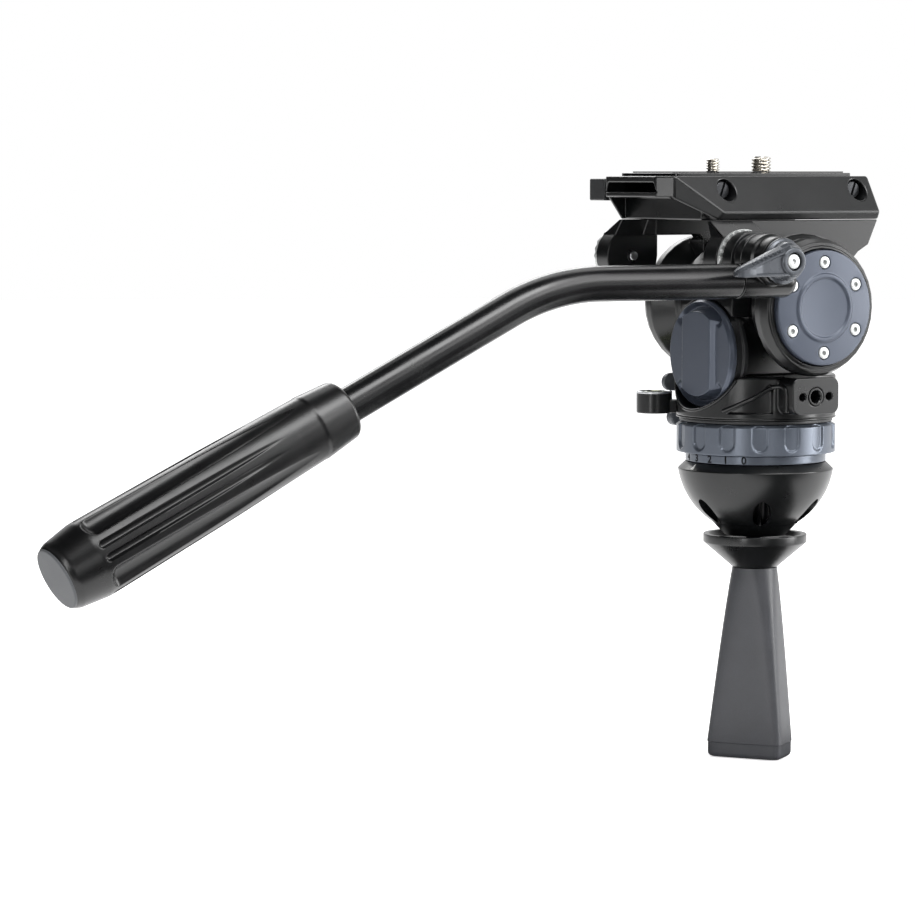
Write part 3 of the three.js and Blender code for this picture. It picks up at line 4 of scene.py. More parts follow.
import bmesh
import bpy
import numpy as np
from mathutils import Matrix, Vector


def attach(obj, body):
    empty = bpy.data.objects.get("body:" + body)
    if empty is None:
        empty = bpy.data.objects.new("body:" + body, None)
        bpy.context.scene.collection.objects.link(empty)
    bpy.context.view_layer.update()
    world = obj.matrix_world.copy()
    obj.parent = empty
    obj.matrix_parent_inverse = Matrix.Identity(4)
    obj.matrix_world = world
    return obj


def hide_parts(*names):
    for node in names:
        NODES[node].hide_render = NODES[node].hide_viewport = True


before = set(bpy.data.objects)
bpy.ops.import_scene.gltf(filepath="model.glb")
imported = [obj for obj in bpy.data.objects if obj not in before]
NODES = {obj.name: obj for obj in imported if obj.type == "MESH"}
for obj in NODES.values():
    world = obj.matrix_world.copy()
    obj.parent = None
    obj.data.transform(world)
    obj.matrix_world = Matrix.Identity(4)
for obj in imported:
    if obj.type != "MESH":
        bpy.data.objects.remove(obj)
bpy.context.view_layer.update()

MM = 0.001

# Axes that several pieces share, in millimetres: the tilt axis, the tilt drag knob's, the
# clamp's, and the pan bar's upper stretch, which bends down by the bend angle
TILT_Z = 78.8
KNOB_Z = 56.0
CLAMP_X, CLAMP_Z = -45.0, 101.6
BAR_Y, BAR_DROP = -65.0, 9.1
BAR_Z = CLAMP_Z - BAR_DROP
BEND_ANGLE = math.radians(25.7)

# How a shape made along +Z is turned: the rows give the turned shape's x, y and z
UP = np.array([[1, 0, 0], [0, 1, 0], [0, 0, 1]], float)
RIGHT = np.array([[1, 0, 0], [0, 0, -1], [0, 1, 0]], float)
LEFT = np.array([[1, 0, 0], [0, 0, 1], [0, -1, 0]], float)
REAR = np.array([[0, 0, -1], [0, 1, 0], [1, 0, 0]], float)


def spun(angle):
    """A turn about Z by an angle in radians."""
    c, s = math.cos(angle), math.sin(angle)
    return np.array([[c, -s, 0], [s, c, 0], [0, 0, 1]])


def full_turn(count):
    """Angles at even steps round a circle."""
    return np.arange(count) / count * 2 * np.pi


# Mesh tools

# Distances in metres: points nearer than this are one, and shorter edges go
MERGE_WITHIN = 2e-6
SHORTEST_EDGE = 1e-7


def placed(points, turn=UP, at=(0, 0, 0)):
    """Points in millimetres, turned by a 3x3 and moved to a place."""
    return points @ turn.T + np.asarray(at, float)


def mesh_of(points, faces):
    """A mesh in metres, with its doubles merged and its faces pointing outwards."""
    mesh = bpy.data.meshes.new("surface")
    mesh.from_pydata((points * MM).tolist(), [], faces)
    shape = bmesh.new()
    shape.from_mesh(mesh)
    bmesh.ops.remove_doubles(shape, verts=shape.verts, dist=MERGE_WITHIN)
    bmesh.ops.dissolve_degenerate(shape, edges=shape.edges, dist=SHORTEST_EDGE)
    bmesh.ops.recalc_face_normals(shape, faces=shape.faces)
    shape.to_mesh(mesh)
    shape.free()
    return mesh


def grid_faces(rows, columns, close_rows=False):
    """Quads between neighbouring rows of a grid of points, whose columns close on themselves."""
    count = rows if close_rows else rows - 1
    row, column = np.repeat(np.arange(count), columns), np.tile(np.arange(columns), count)
    here, there = row * columns, (row + 1) % rows * columns
    beside = (column + 1) % columns
    return np.stack([here + column, here + beside, there + beside, there + column], axis=1).tolist()


def grid_mesh(points, turn=UP, at=(0, 0, 0), close_rows=False, flat_ends=False):
    """A surface through a rows x columns x 3 grid of points in millimetres. With flat ends a
    face closes its first row, and one its last."""
    rows, columns = points.shape[:2]
    faces = grid_faces(rows, columns, close_rows)
    if flat_ends:
        faces += [list(range(columns))[::-1], list(range((rows - 1) * columns, rows * columns))]
    return mesh_of(placed(points.reshape(-1, 3), turn, at), faces)


def round_rows(radius, angle, height):
    """Rows of points round Z: x = r cos a, y = r sin a, z = h."""
    return np.stack(np.broadcast_arrays(radius * np.cos(angle), radius * np.sin(angle), height), axis=2)


def axis_row(height, sides):
    """A row of equal points on the axis, which closes a grid at a pole."""
    return np.broadcast_to(np.array([0.0, 0.0, height]), (1, sides, 3))


def eased(profile, radius, steps=4):
    """A profile whose inner corners are rounded: each corner P is replaced by a quadratic
    arc from the point one ease before it to the point one ease after it."""
    longest_share = 0.45
    profile = np.asarray(profile, float)
    out = [profile[0]]
    for before, corner, after in zip(profile[:-2], profile[1:-1], profile[2:]):
        to_before, to_after = before - corner, after - corner
        reach_before, reach_after = np.linalg.norm(to_before), np.linalg.norm(to_after)
        ease = min(radius, reach_before * longest_share, reach_after * longest_share)
        start = corner + to_before / reach_before * ease
        end = corner + to_after / reach_after * ease
        for t in np.linspace(0, 1, steps + 1):
            out.append((1 - t) ** 2 * start + 2 * t * (1 - t) * corner + t ** 2 * end)
    out.append(profile[-1])
    return np.array(out)


def disc_profile(radius, low, high):
    """The profile of a plain disc between two heights."""
    return [[0, low], [radius, low], [radius, high], [0, high]]


def turned_points(profile, sides):
    """A [radius, height] profile turned round Z."""
    profile = np.asarray(profile, float)
    return round_rows(profile[:, :1], full_turn(sides), profile[:, 1:])


def turned(profile, sides=96, turn=UP, at=(0, 0, 0), ease=0.3):
    """A solid of revolution; its profile starts and ends on the axis or closes on itself."""
    profile = np.asarray(profile, float)
    closed = profile[0, 0] != 0
    if closed:
        profile = np.vstack([profile, profile[:1]])
    if ease:
        profile = eased(profile, ease)
    return grid_mesh(turned_points(profile, sides), turn, at)


def prism(outline, bottom, top, turn=UP):
    """A closed prism on an outline of [x, y] points."""
    outline = np.asarray(outline, float)
    ends = [np.column_stack([outline, np.full(len(outline), z)]) for z in (bottom, top)]
    return grid_mesh(np.array(ends), turn, flat_ends=True)


def bead(points, radius, sides, steps=90):
    """A round bead along a path: the path is resampled at even lengths and smoothed, and
    circles square to it shrink to points at both ends as sqrt(1 - u^2)."""
    smoothings = 3
    # a direction that no bead here follows
    aside = [0.31, 0.17, 0.93]
    path = np.asarray(points, float)
    length = np.concatenate([[0], np.cumsum(np.linalg.norm(np.diff(path, axis=0), axis=1))])
    even = np.linspace(0, length[-1], steps)
    line = np.column_stack([np.interp(even, length, path[:, i]) for i in range(3)])
    for _ in range(smoothings):
        line[1:-1] = (line[:-2] + 2 * line[1:-1] + line[2:]) / 4
    way = np.gradient(line, axis=0)
    way /= np.linalg.norm(way, axis=1)[:, None]
    across = np.cross(way, aside)
    across /= np.linalg.norm(across, axis=1)[:, None]
    over = np.cross(way, across)
    from_end = np.minimum(even, length[-1] - even)
    size = radius * np.sqrt(np.clip(1 - (1 - np.clip(from_end / radius, 0, 1)) ** 2, 0, 1))
    a = full_turn(sides)
    circle = np.cos(a)[None, :, None] * across[:, None, :] + np.sin(a)[None, :, None] * over[:, None, :]
    return grid_mesh(line[:, None, :] + size[:, None, None] * circle)


def shaded(mesh, crease=32):
    """Smooth faces, with every edge sharper than the crease angle kept sharp."""
    mesh.polygons.foreach_set("use_smooth", np.ones(len(mesh.polygons), bool))
    mesh.set_sharp_from_angle(angle=math.radians(crease))
    mesh.update()


def points_of(mesh):
    """A mesh's points in millimetres."""
    values = np.zeros(len(mesh.vertices) * 3)
    mesh.vertices.foreach_get("co", values)
    return values.reshape(-1, 3) / MM


def moved_mesh(mesh, turn, at):
    """A mesh whose points are turned by a 3x3 and moved to a place."""
    mesh.vertices.foreach_set("co", (placed(points_of(mesh), turn, at) * MM).ravel())
    return mesh


def linked(name, data):
    """A new object in the scene."""
    obj = bpy.data.objects.new(name, data)
    bpy.context.scene.collection.objects.link(obj)
    return obj


def evaluated(obj):
    """A new mesh of an object as its modifiers leave it."""
    bpy.context.view_layer.update()
    graph = bpy.context.evaluated_depsgraph_get()
    return bpy.data.meshes.new_from_object(obj.evaluated_get(graph), depsgraph=graph)


def piece(name, mesh, finish, body, replaces=(), crease=32):
    """Puts a finished mesh in the scene, on its body, in its finish."""
    mesh.name = name
    shaded(mesh, crease)
    mesh.materials.clear()
    mesh.materials.append(finish)
    obj = linked(name, mesh)
    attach(obj, body)
    if replaces:
        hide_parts(*replaces)
    return obj


def carved(base, cutters=(), added=()):
    """A mesh with cutters taken out of it and then other meshes joined to it."""
    obj = linked("blank", base)
    tools = []
    for meshes, operation in ((cutters, "DIFFERENCE"), (added, "UNION")):
        for mesh in meshes:
            tools.append(linked("tool", mesh))
            step = obj.modifiers.new("step", "BOOLEAN")
            step.operation = operation
            step.solver = "EXACT"
            step.object = tools[-1]
    result = evaluated(obj)
    for extra in tools + [obj]:
        bpy.data.objects.remove(extra)
    return result


def casting(name, node, finish, body, edge=0.5, limit=24):
    """A copy of a frame node with its loose triangles merged, its flat faces made whole and
    its edges rounded, for cast and moulded pieces. The limit is the angle in degrees above
    which an edge counts as one."""
    merge_within, flat_within, segments = 3e-6, math.radians(0.4), 3
    mesh = NODES[node].data.copy()
    mesh.attributes.remove(mesh.attributes["custom_normal"])
    shape = bmesh.new()
    shape.from_mesh(mesh)
    bmesh.ops.remove_doubles(shape, verts=shape.verts, dist=merge_within)
    bmesh.ops.dissolve_limit(shape, angle_limit=flat_within, verts=shape.verts, edges=shape.edges)
    shape.to_mesh(mesh)
    shape.free()
    obj = piece(name, mesh, finish, body, (node,), crease=limit)
    bevel = obj.modifiers.new("edges", "BEVEL")
    bevel.width = edge * MM
    bevel.segments = segments
    bevel.limit_method = "ANGLE"
    bevel.angle_limit = math.radians(limit)
    bevel.use_clamp_overlap = False
    bevel.miter_outer = "MITER_ARC"
    weighted = obj.modifiers.new("flats", "WEIGHTED_NORMAL")
    weighted.keep_sharp = True
    return obj


# Finishes

# Clouds of colour and gloss are 18 mm wide, so there are 55 of them in a metre
CLOUDS_PER_METRE = 55.0
# A noise rarely leaves this range, so it is stretched from here
NOISE_LOW, NOISE_HIGH = 0.3, 0.7
# A ring pattern of scale 1 repeats every 0.314 m
WAVE_REPEAT = 0.314
BUMP_DEPTH = 0.2 * MM


def new_material(name, **sockets):
    """A material with some sockets of its shader set, with its node tree and the shader."""
    material = bpy.data.materials.new(name)
    material.use_nodes = True
    shader = material.node_tree.nodes["Principled BSDF"]
    for key, value in sockets.items():
        shader.inputs[key.replace("_", " ")].default_value = value
    return material, material.node_tree, shader


def linear(code):
    """An sRGB hex colour as linear RGBA."""
    values = [int(code[i:i + 2], 16) / 255 for i in (1, 3, 5)]
    return tuple(v / 12.92 if v <= 0.04045 else ((v + 0.055) / 1.055) ** 2.4 for v in values) + (1.0,)


def add(tree, kind, settings=None, **links):
    """Adds a node, sets its fields and sockets, and links named sockets to other outputs. A
    link called _0 goes to the first socket."""
    node = tree.nodes.new("ShaderNode" + kind)
    for key, value in (settings or {}).items():
        if isinstance(key, int) or key[0].isupper():
            node.inputs[key].default_value = value
        else:
            setattr(node, key, value)
    for key, output in links.items():
        socket = node.inputs[int(key[1:])] if key.startswith("_") else node.inputs[key.replace("_", " ")]
        tree.links.new(output, socket)
    return node


def finish_of(name, colour, roughness, metallic=0.0, shade=0.12, grain=0.3, bump=0.06, rough_spread=0.08,
              turning=None, **sockets):
    """A finish with three layers: slow cloudy variation of colour (shade), a fine grain of
    the given size in millimetres that lifts the surface (bump), and patchy gloss. Turning
    gives circular tool marks: (axis, centre, spacing in millimetres)."""
    speckle, ring_share = 0.35, 0.35
    material, tree, shader = new_material(name, Metallic=metallic, **sockets)
    place = add(tree, "TexCoord").outputs["Object"]
    cloud = add(tree, "TexNoise", {"Scale": CLOUDS_PER_METRE, "Detail": 4.0, "Roughness": 0.6},
                Vector=place)
    fine = add(tree, "TexNoise", {"Scale": 1 / (grain * MM), "Detail": 3.0, "Roughness": 0.65},
               Vector=place)
    base = np.array(linear(colour)[:3])
    ramp = add(tree, "ValToRGB", Fac=cloud.outputs["Fac"])
    dark, pale = ramp.color_ramp.elements
    dark.position, pale.position = NOISE_LOW, NOISE_HIGH
    dark.color = (*(base * (1 - shade)), 1)
    pale.color = (*(base * (1 + shade)), 1)
    speck = add(tree, "Mix", {"data_type": "RGBA", "blend_type": "MULTIPLY"})
    speck.inputs[0].default_value = speckle
    tree.links.new(ramp.outputs["Color"], speck.inputs[6])
    grey = add(tree, "MapRange", {1: NOISE_LOW, 2: NOISE_HIGH, 3: 0.75, 4: 1.25},
               _0=fine.outputs["Fac"])
    tree.links.new(grey.outputs[0], speck.inputs[7])
    tree.links.new(speck.outputs[2], shader.inputs["Base Color"])
    gloss = add(tree, "MapRange", {
        1: NOISE_LOW, 2: NOISE_HIGH, 3: roughness - rough_spread / 2, 4: roughness + rough_spread / 2,
    }, _0=cloud.outputs["Fac"])
    tree.links.new(gloss.outputs[0], shader.inputs["Roughness"])
    height = fine.outputs["Fac"]
    if turning:
        axis, centre, spacing = turning
        shifted = add(tree, "Mapping", {"Location": tuple(-c * MM for c in centre)}, Vector=place)
        rings = add(tree, "TexWave", {
            "wave_type": "RINGS", "rings_direction": axis, "Scale": WAVE_REPEAT / (spacing * MM),
            "Distortion": 1.2, "Detail": 2.0, "Detail Scale": 1.5,
        }, Vector=shifted.outputs["Vector"])
        both = add(tree, "Math", {"operation": "MULTIPLY_ADD", 1: ring_share},
                   _0=rings.outputs["Fac"], _2=height)
        height = both.outputs[0]
    relief = add(tree, "Bump", {"Strength": bump, "Distance": BUMP_DEPTH}, Height=height)
    tree.links.new(relief.outputs["Normal"], shader.inputs["Normal"])
    return material


# Die-cast aluminium under satin black stove enamel: soft broad highlights, fine orange peel
black_enamel = finish_of("satin_black_enamel", "#0c0d0e", 0.29, shade=0.06, grain=0.35, bump=0.035,
                         rough_spread=0.04)
# Turned aluminium, black anodised: a tighter highlight than the enamel
black_anodised = finish_of("black_anodised_aluminium", "#0a0b0c", 0.24, shade=0.08, grain=0.25, bump=0.03)
# Glass-filled nylon, moulded: dull, with an even fine grain
black_nylon = finish_of("black_moulded_nylon", "#1b1c1e", 0.44, grain=0.5, bump=0.12)
# The same nylon on the tie-down handle, painted paler: painted light that makes the handle look more brightly
# lit
painted_lit_nylon = finish_of("black_nylon_painted_paler", "#37383c", 0.42, grain=0.5, bump=0.12)
# Painted moulding of the large knob: a smooth blue-grey, darker than the ring
knob_blue_grey = finish_of("blue_grey_moulding", "#484e5a", 0.3, metallic=0.4, shade=0.03, grain=0.2,
                           bump=0.015, rough_spread=0.03)
# Blue-grey anodised aluminium of the drag ring: a cool metal colour with clear highlights
blue_grey = finish_of("blue_grey_anodised", "#5c626c", 0.3, metallic=0.5, shade=0.03, grain=0.2, bump=0.012,
                      rough_spread=0.03)
# The drum caps' anodised aluminium: duller, with faint circular turning marks
cap_blue_grey = finish_of("blue_grey_turned_cap", "#434955", 0.36, metallic=0.3, shade=0.05, grain=0.2,
                          bump=0.03, turning=("Y", (0, 0, TILT_Z), 1.0))
# Grey moulded nylon of the small levers: dull and even
lever_grey = finish_of("grey_moulded_nylon", "#5c5f64", 0.42, shade=0.06, grain=0.4, bump=0.08)
# Grey alloy of the clamp lever, satin: its bevels catch the light
lever_alloy = finish_of("satin_grey_alloy", "#4c4f54", 0.26, metallic=0.5, shade=0.06, bump=0.05)
# Zinc-plated steel of the small screws: pale and even
white_zinc = finish_of("white_zinc_plate", "#c4c6c5", 0.34, metallic=0.55, shade=0.03, bump=0.02)
# Machined steel: bright, its reflections slightly blurred
bright_steel = finish_of("machined_steel", "#d6d8da", 0.36, metallic=1.0, shade=0.04, bump=0.02)
# Blackened steel of the small set screws: dark, with a metal's sheen
dark_steel = finish_of("blackened_steel", "#3a3b3d", 0.35, metallic=0.8, shade=0.06, bump=0.02)
# Steel of the camera screws: a warmer colour and a tighter highlight
screw_steel = finish_of("warm_screw_steel", "#d8d4cc", 0.27, metallic=1.0, shade=0.05, bump=0.02)
# Turned bronze of the bushes: a warm metal
bronze = finish_of("turned_bronze", "#9a7440", 0.35, metallic=1.0, shade=0.08, bump=0.03)
# Hard black rubber, moulded and slightly worn to a shine
grip_rubber = finish_of("black_grip_rubber", "#0b0b0c", 0.3, shade=0.1, grain=0.45, bump=0.1)
# Light grey moulded end cap: flat and dull
cap_grey = finish_of("grey_end_cap", "#4b4d50", 0.55, shade=0.04, grain=0.4, bump=0.06)
# Cork and rubber pad: coarse speckle, no shine
cork_rubber = finish_of("black_cork_rubber", "#1b1b1c", 0.85, shade=0.3, grain=0.9, bump=0.5)
# Printed marks: even colour without shine
ink_dark = finish_of("dark_ink", "#040405", 0.8, shade=0.05, grain=0.2, bump=0.02, Specular_IOR_Level=0.2)
ink_white = finish_of("white_ink", "#f2f2ee", 0.6, shade=0.03, grain=0.2, bump=0.02)
# The level: clear cap over a yellow-green spirit, with a paler bubble
vial_spirit = finish_of("level_spirit", "#b7cc4a", 0.08, shade=0.06, grain=0.5, bump=0.0, Coat_Weight=1.0)
vial_bubble = finish_of("level_bubble", "#e9efc4", 0.05, shade=0.02, grain=0.5, bump=0.0)

# Bowl seat: the half ball, its index, the stud and the clamp cup

BALL_R, BALL_Z, BALL_WALL = 37.5, 6.0, 4.0
BALL_TOP, BALL_FOOT, BALL_FOOT_R = 4.0, -31.5, 14.5
BAND_R = 33.5
STUD_BORE, SPINDLE_BORE, SPINDLE_FOOT = 5.06, 8.3, -20.3
WINDOWS, WINDOW_Z, WINDOW_HALF_WIDTH, WINDOW_HALF_HEIGHT = 6, -19.5, 4.2, 6.0


def sphere_radius(radius, z):
    """How far a sphere round the ball's centre is from the axis: sqrt(R^2 - (z - c)^2)."""
    return math.sqrt(radius ** 2 - (z - BALL_Z) ** 2)


def half_ball():
    """A turned shell whose side is an arc of the sphere r = sqrt(R^2 - (z - c)^2), bored out
    and cut by six oval windows that widen outwards; a wedge stands behind each window."""
    arc_low, arc_high, hollow_low, hollow_high, hollow_r = -25.4, 0.5, -23.4, -1.5, 12
    steepest = math.acos((BALL_Z - arc_low) / BALL_R)
    flattest = math.acos((BALL_Z - arc_high) / BALL_R)
    heights = BALL_Z - BALL_R * np.cos(np.linspace(steepest, flattest, 40))
    arc = [[sphere_radius(BALL_R, z), z] for z in heights]
    outer = [
        [STUD_BORE, BALL_FOOT], [BALL_FOOT_R, BALL_FOOT], *arc, [BAND_R, BALL_TOP],
        [SPINDLE_BORE, BALL_TOP], [SPINDLE_BORE, SPINDLE_FOOT], [STUD_BORE, SPINDLE_FOOT],
    ]
    shell = turned(outer, 144, ease=0.35)
    levels = np.linspace(hollow_low, hollow_high, 16)
    side = [[sphere_radius(BALL_R - BALL_WALL, z), z] for z in levels]
    inner = [[hollow_r, hollow_low], *side, [hollow_r, hollow_high]]
    cutters = [turned(inner, 96, ease=0)]
    ribs = []
    sides = 48
    t = full_turn(sides)
    for k in range(WINDOWS):
        turn = spun(k * 2 * math.pi / WINDOWS)
        rows = []
        for x, grow in ((12.3, 0), (25, 0), (44, 0.8)):
            y = (WINDOW_HALF_WIDTH + grow) * np.cos(t)
            z = WINDOW_Z + (WINDOW_HALF_HEIGHT + grow) * np.sin(t)
            rows.append(np.column_stack([np.full(sides, x), y, z]))
        cutters.append(grid_mesh(np.array(rows), turn, flat_ends=True))
        ribs.append(prism([[10, -3.5], [21.2, -0.5], [22, 0], [21.2, 0.5], [10, 3.5]], arc_low, -4, turn))
    return carved(shell, cutters, ribs)


piece("half_ball_shell", half_ball(), black_enamel, "bowl_base", ("half_ball",))


def ball_index():
    """The white index: a thin triangle on the cone of the ball's chamfer, where a share runs
    down the cone and a sideways distance t turns round it by t / r."""
    cone_r, cone_z = (BAND_R, 37.1), (BALL_TOP, 0.5)
    theta = math.radians(178)
    points = []
    for lift in (0.03, 0.09):
        for share, aside in ((0.12, 0.0), (0.85, -1.3), (0.85, 1.3)):
            radius = cone_r[0] + (cone_r[1] - cone_r[0]) * share + lift
            height = cone_z[0] + (cone_z[1] - cone_z[0]) * share + lift
            angle = theta + aside / radius
            points.append([radius * math.cos(angle), radius * math.sin(angle), height])
    faces = [[0, 1, 2], [5, 4, 3], [0, 3, 4, 1], [1, 4, 5, 2], [2, 5, 3, 0]]
    return mesh_of(np.array(points), faces)


piece("drag_index", ball_index(), ink_white, "bowl_base")


def threaded(radius, pitch, bottom, top, depth, at=(0, 0, 0)):
    """A rod whose radius follows a 60 degree thread, r = R - depth * groove, where the groove
    is a clipped triangle of (z / pitch - a / 2pi); the tip draws in over a short lead."""
    sides, rows_a_turn, lead, tip_share = 48, 10, 0.8, 0.78
    flank_slope, land = 2.4, 0.2
    z = np.linspace(bottom, top, int((top - bottom) / pitch * rows_a_turn) + 2)[:, None]
    a = full_turn(sides)
    phase = (z / pitch - a / (2 * np.pi)) % 1
    groove = np.clip(np.abs(phase - 0.5) * flank_slope - land, 0, 1)
    tip = np.clip((top - z) / lead, 0, 1)
    r = (radius - depth * groove) * (tip_share + (1 - tip_share) * tip ** 0.7)
    rows = [axis_row(bottom, sides), round_rows(r, a, z), axis_row(top, sides)]
    return grid_mesh(np.concatenate(rows), at=at)


piece("tie_down_thread", threaded(4.72, 1.5875, -84, -20.1, 0.75), bright_steel, "bowl_base",
      ("tie_down_stud",))
piece("tie_down_flange", turned(disc_profile(8, -20, -16), 48), bright_steel, "bowl_base")

CUP = [
    [STUD_BORE, -47], [10.8, -47], [24.8, -35], [24.8, -31], [22.2, -31], [20.9, -33.8], [STUD_BORE, -33.8],
]
piece("clamp_cup_turned", turned(CUP, 128, ease=0.45), black_enamel, "clamp", ("clamp_cup",))

# Tie-down handle

HANDLE_TOP, HANDLE_BAND, HANDLE_FOOT = -47.3, -131.7, -139.2
HANDLE_TOP_R, HANDLE_FOOT_X, HANDLE_FOOT_Y, HANDLE_LEAN = 10.75, 11.1, 18.9, 2.0
HANDLE_TURN = math.radians(35)


def handle():
    """A loft from a circle to a rounded slab: |x/a|^n + |y/b|^n = 1, where a, b and n grow
    with the share of the way down. The foot is set in by a small step, and its edge is
    round."""
    step, edge, corner_bend = 0.3, 2.2, 0.16
    rows = [(HANDLE_TOP - (HANDLE_TOP - HANDLE_BAND) * t, t, 0.0) for t in np.linspace(0, 1, 60)]
    rows += [(HANDLE_BAND - 0.25, 1, step - 0.02), (HANDLE_BAND - 0.6, 1, step)]
    rows += [(z, 1, step) for z in np.linspace(HANDLE_BAND - 1.2, HANDLE_FOOT + edge + 0.2, 5)]
    for t in np.linspace(0, math.pi / 2, 7):
        rows.append((HANDLE_FOOT + edge * (1 - math.sin(t)), 1, step + edge * (1 - math.cos(t))))
    height, share, inset = (np.array(c)[:, None] for c in zip(*rows))
    sides = 160
    angle = ((np.arange(sides) + 0.5) / sides * 2 * np.pi)[None, :]
    power = 2 + 6 * share
    # corners get more points: the angle is bent towards the diagonals
    angle = angle + corner_bend * share * np.sin(4 * angle)
    c, s = np.cos(angle), np.sin(angle)
    stretch = (np.abs(c) ** power + np.abs(s) ** power) ** (-1 / power)
    x = (HANDLE_TOP_R + (HANDLE_FOOT_X - HANDLE_TOP_R) * share - inset) * c * stretch
    y = (HANDLE_TOP_R + (HANDLE_FOOT_Y - HANDLE_TOP_R) * share - inset) * s * stretch + HANDLE_LEAN * share
    grid = np.stack([x, y, np.broadcast_to(height, x.shape)], axis=2) @ spun(HANDLE_TURN).T
    ends = []
    for row, z in ((0, HANDLE_TOP), (-1, HANDLE_FOOT)):
        middle_x, middle_y = grid[row, :, :2].mean(axis=0)
        ends.append(np.broadcast_to([middle_x, middle_y, z], (1, sides, 3)))
    return grid_mesh(np.concatenate([ends[0], grid, ends[1]]))


# The handle's nylon is painted paler, as painted light
piece("tie_down_handle_moulded", handle(), painted_lit_nylon, "handle", ("tie_down_handle",), crease=40)

# Pan drag ring

RING_R, RING_TOP, RING_FOOT, RING_BORE = 37.9, 23.3, 8.75, 26.9
RING_SHOULDER, RING_SHOULDER_R = 21.9, 35.2
BAND_FOOT, BAND_TOP = 4.35, 8.2
SCALLOPS, SCALLOP_WIDE, SCALLOP_DEEP, SCALLOP_FLOOR = 15, 7.9, 2.5, 14.4
FIRST_SCALLOP = math.radians(20.6)
FAR = 99.0


def near_side(centre, radius, away):
    """How far from the axis the near side of a round cutter is, at an angle away from its
    own: c cos a - sqrt(q^2 - c^2 sin^2 a). Where it doesn't reach it is far off."""
    inside = radius ** 2 - (centre * np.sin(away)) ** 2
    return np.where(inside > 0, centre * np.cos(away) - np.sqrt(np.maximum(inside, 0)), FAR)


def drag_ring():
    """The ring's radius is a rounded profile R(z), and each scallop is a round cutter beside
    it: r = min(R, cutter's near side), with the minimum eased. The cutter's radius shrinks
    to nothing below the scallop's floor."""
    undercut, groove, longest_step, ease, ease_reach = 0.55, 0.5, 0.35, 0.16, 6
    reach = ((SCALLOP_WIDE / 2) ** 2 + SCALLOP_DEEP ** 2) / (2 * SCALLOP_DEEP)
    centre = RING_R + reach - SCALLOP_DEEP
    band = [
        [RING_BORE, BAND_FOOT], [BAND_R, BAND_FOOT], [BAND_R, BAND_TOP], [BAND_R - undercut, BAND_TOP],
        [BAND_R - undercut, RING_FOOT],
    ]
    rim = [
        [RING_R, RING_FOOT], [RING_R, RING_SHOULDER], [RING_SHOULDER_R, RING_TOP], [34.0, RING_TOP],
        [33.7, RING_TOP - groove], [RING_BORE, RING_TOP - groove],
    ]
    profile = eased(band + rim, 0.35, 5)
    dense = [profile[0]]
    for p, q in zip(profile[:-1], profile[1:]):
        count = max(1, int(np.linalg.norm(q - p) / longest_step))
        dense += [p + (q - p) * k / count for k in range(1, count + 1)]
    profile = np.array(dense + [profile[0]])
    angle = full_turn(SCALLOPS * 40)
    around = np.angle(np.exp(1j * SCALLOPS * (angle - FIRST_SCALLOP))) / SCALLOPS
    z = profile[:, 1][:, None]
    share = np.clip((SCALLOP_FLOOR - z) / reach, 0, 1)
    side = near_side(centre, reach * np.sqrt(1 - share ** 2), around)
    base = profile[:, 0][:, None]
    gap = np.clip((side - base) / ease, -ease_reach, ease_reach)
    radius = base - ease * np.log1p(np.exp(-gap)) + ease * math.log1p(math.exp(-ease_reach))
    # only the rim's own wall is scalloped
    radius = np.where((z > RING_FOOT + 0.1) & (base > BAND_R + 0.4), radius, base)
    return grid_mesh(round_rows(radius, angle, z))


piece("pan_drag_ring_turned", drag_ring(), blue_grey, "drag_ring", ("pan_drag_ring",), crease=40)

NUMERAL_SIZE, NUMERAL_Z = 4.9, 6.25


def wrapped_text(text, theta):
    """A numeral made a mesh and wrapped on the ring's band: x becomes an angle x / R, and y
    a height."""
    boldness, thickness, lift = 0.13, 0.04, 0.05
    curve = bpy.data.curves.new("numeral", "FONT")
    curve.body, curve.size = text, NUMERAL_SIZE * MM
    curve.align_x, curve.align_y = "CENTER", "CENTER"
    curve.offset = boldness * MM
    curve.extrude = thickness * MM
    obj = linked("numeral", curve)
    mesh = evaluated(obj)
    bpy.data.objects.remove(obj)
    x, y, z = points_of(mesh).T
    r = BAND_R + lift + z
    angle = theta + x / BAND_R
    out = np.column_stack([r * np.cos(angle), r * np.sin(angle), NUMERAL_Z + y]) * MM
    mesh.vertices.foreach_set("co", out.ravel())
    mesh.update()
    return mesh


for label, degrees in (("4", 163.2), ("3", 177.6), ("2", 193.4), ("1", 208.7), ("0", 224.2)):
    piece("drag_numeral_" + label, wrapped_text(label, math.radians(degrees)), ink_dark, "drag_ring")

# Base housing and tower

BASE_R, KNOB_POCKET_R = 38.0, 26.7
INSERT_Z = 37.0

casting("base_housing_cast", "base_housing", black_enamel, "pan_head", edge=0.6)
casting("tower_cast", "centre_housing", black_enamel, "pan_head", edge=0.7)
SKIRT = [[RING_BORE, 23.6], [36.5, 23.6], [36.5, 25.0], [RING_BORE, 25.0]]
piece("pan_skirt", turned(SKIRT, 144, ease=0.25), black_nylon, "pan_head", ("pan_skirt_ring",))
FOOT_LIP = [[37.0, 25.3], [BASE_R, 25.3], [38.1, 25.5], [38.1, 25.9], [37.9, 26.1], [37.0, 26.1]]
piece("base_foot_lip", turned(FOOT_LIP, 144, ease=0.15), black_enamel, "pan_head")

# The raised edge of the sunk panel beside the accessory pad, rising from the knob's pocket
PANEL_EDGE = [
    [-33.2, -18.0, 29.6], [-29.0, -24.5, 32.8], [-23.3, -30.0, 36.3], [-18.7, -33.1, 39.7],
    [-15.9, -35.2, 41.5], [-14.2, -38.5, 42.0], [-13.6, -41.2, 40.8], [-13.5, -42.4, 37.9],
    [-13.5, -42.6, 34.5], [-13.5, -42.6, 30.6], [-13.5, -42.6, 29.4],
]
piece("base_panel_edge", bead(PANEL_EDGE, 1.0, 14), black_enamel, "pan_head", crease=60)


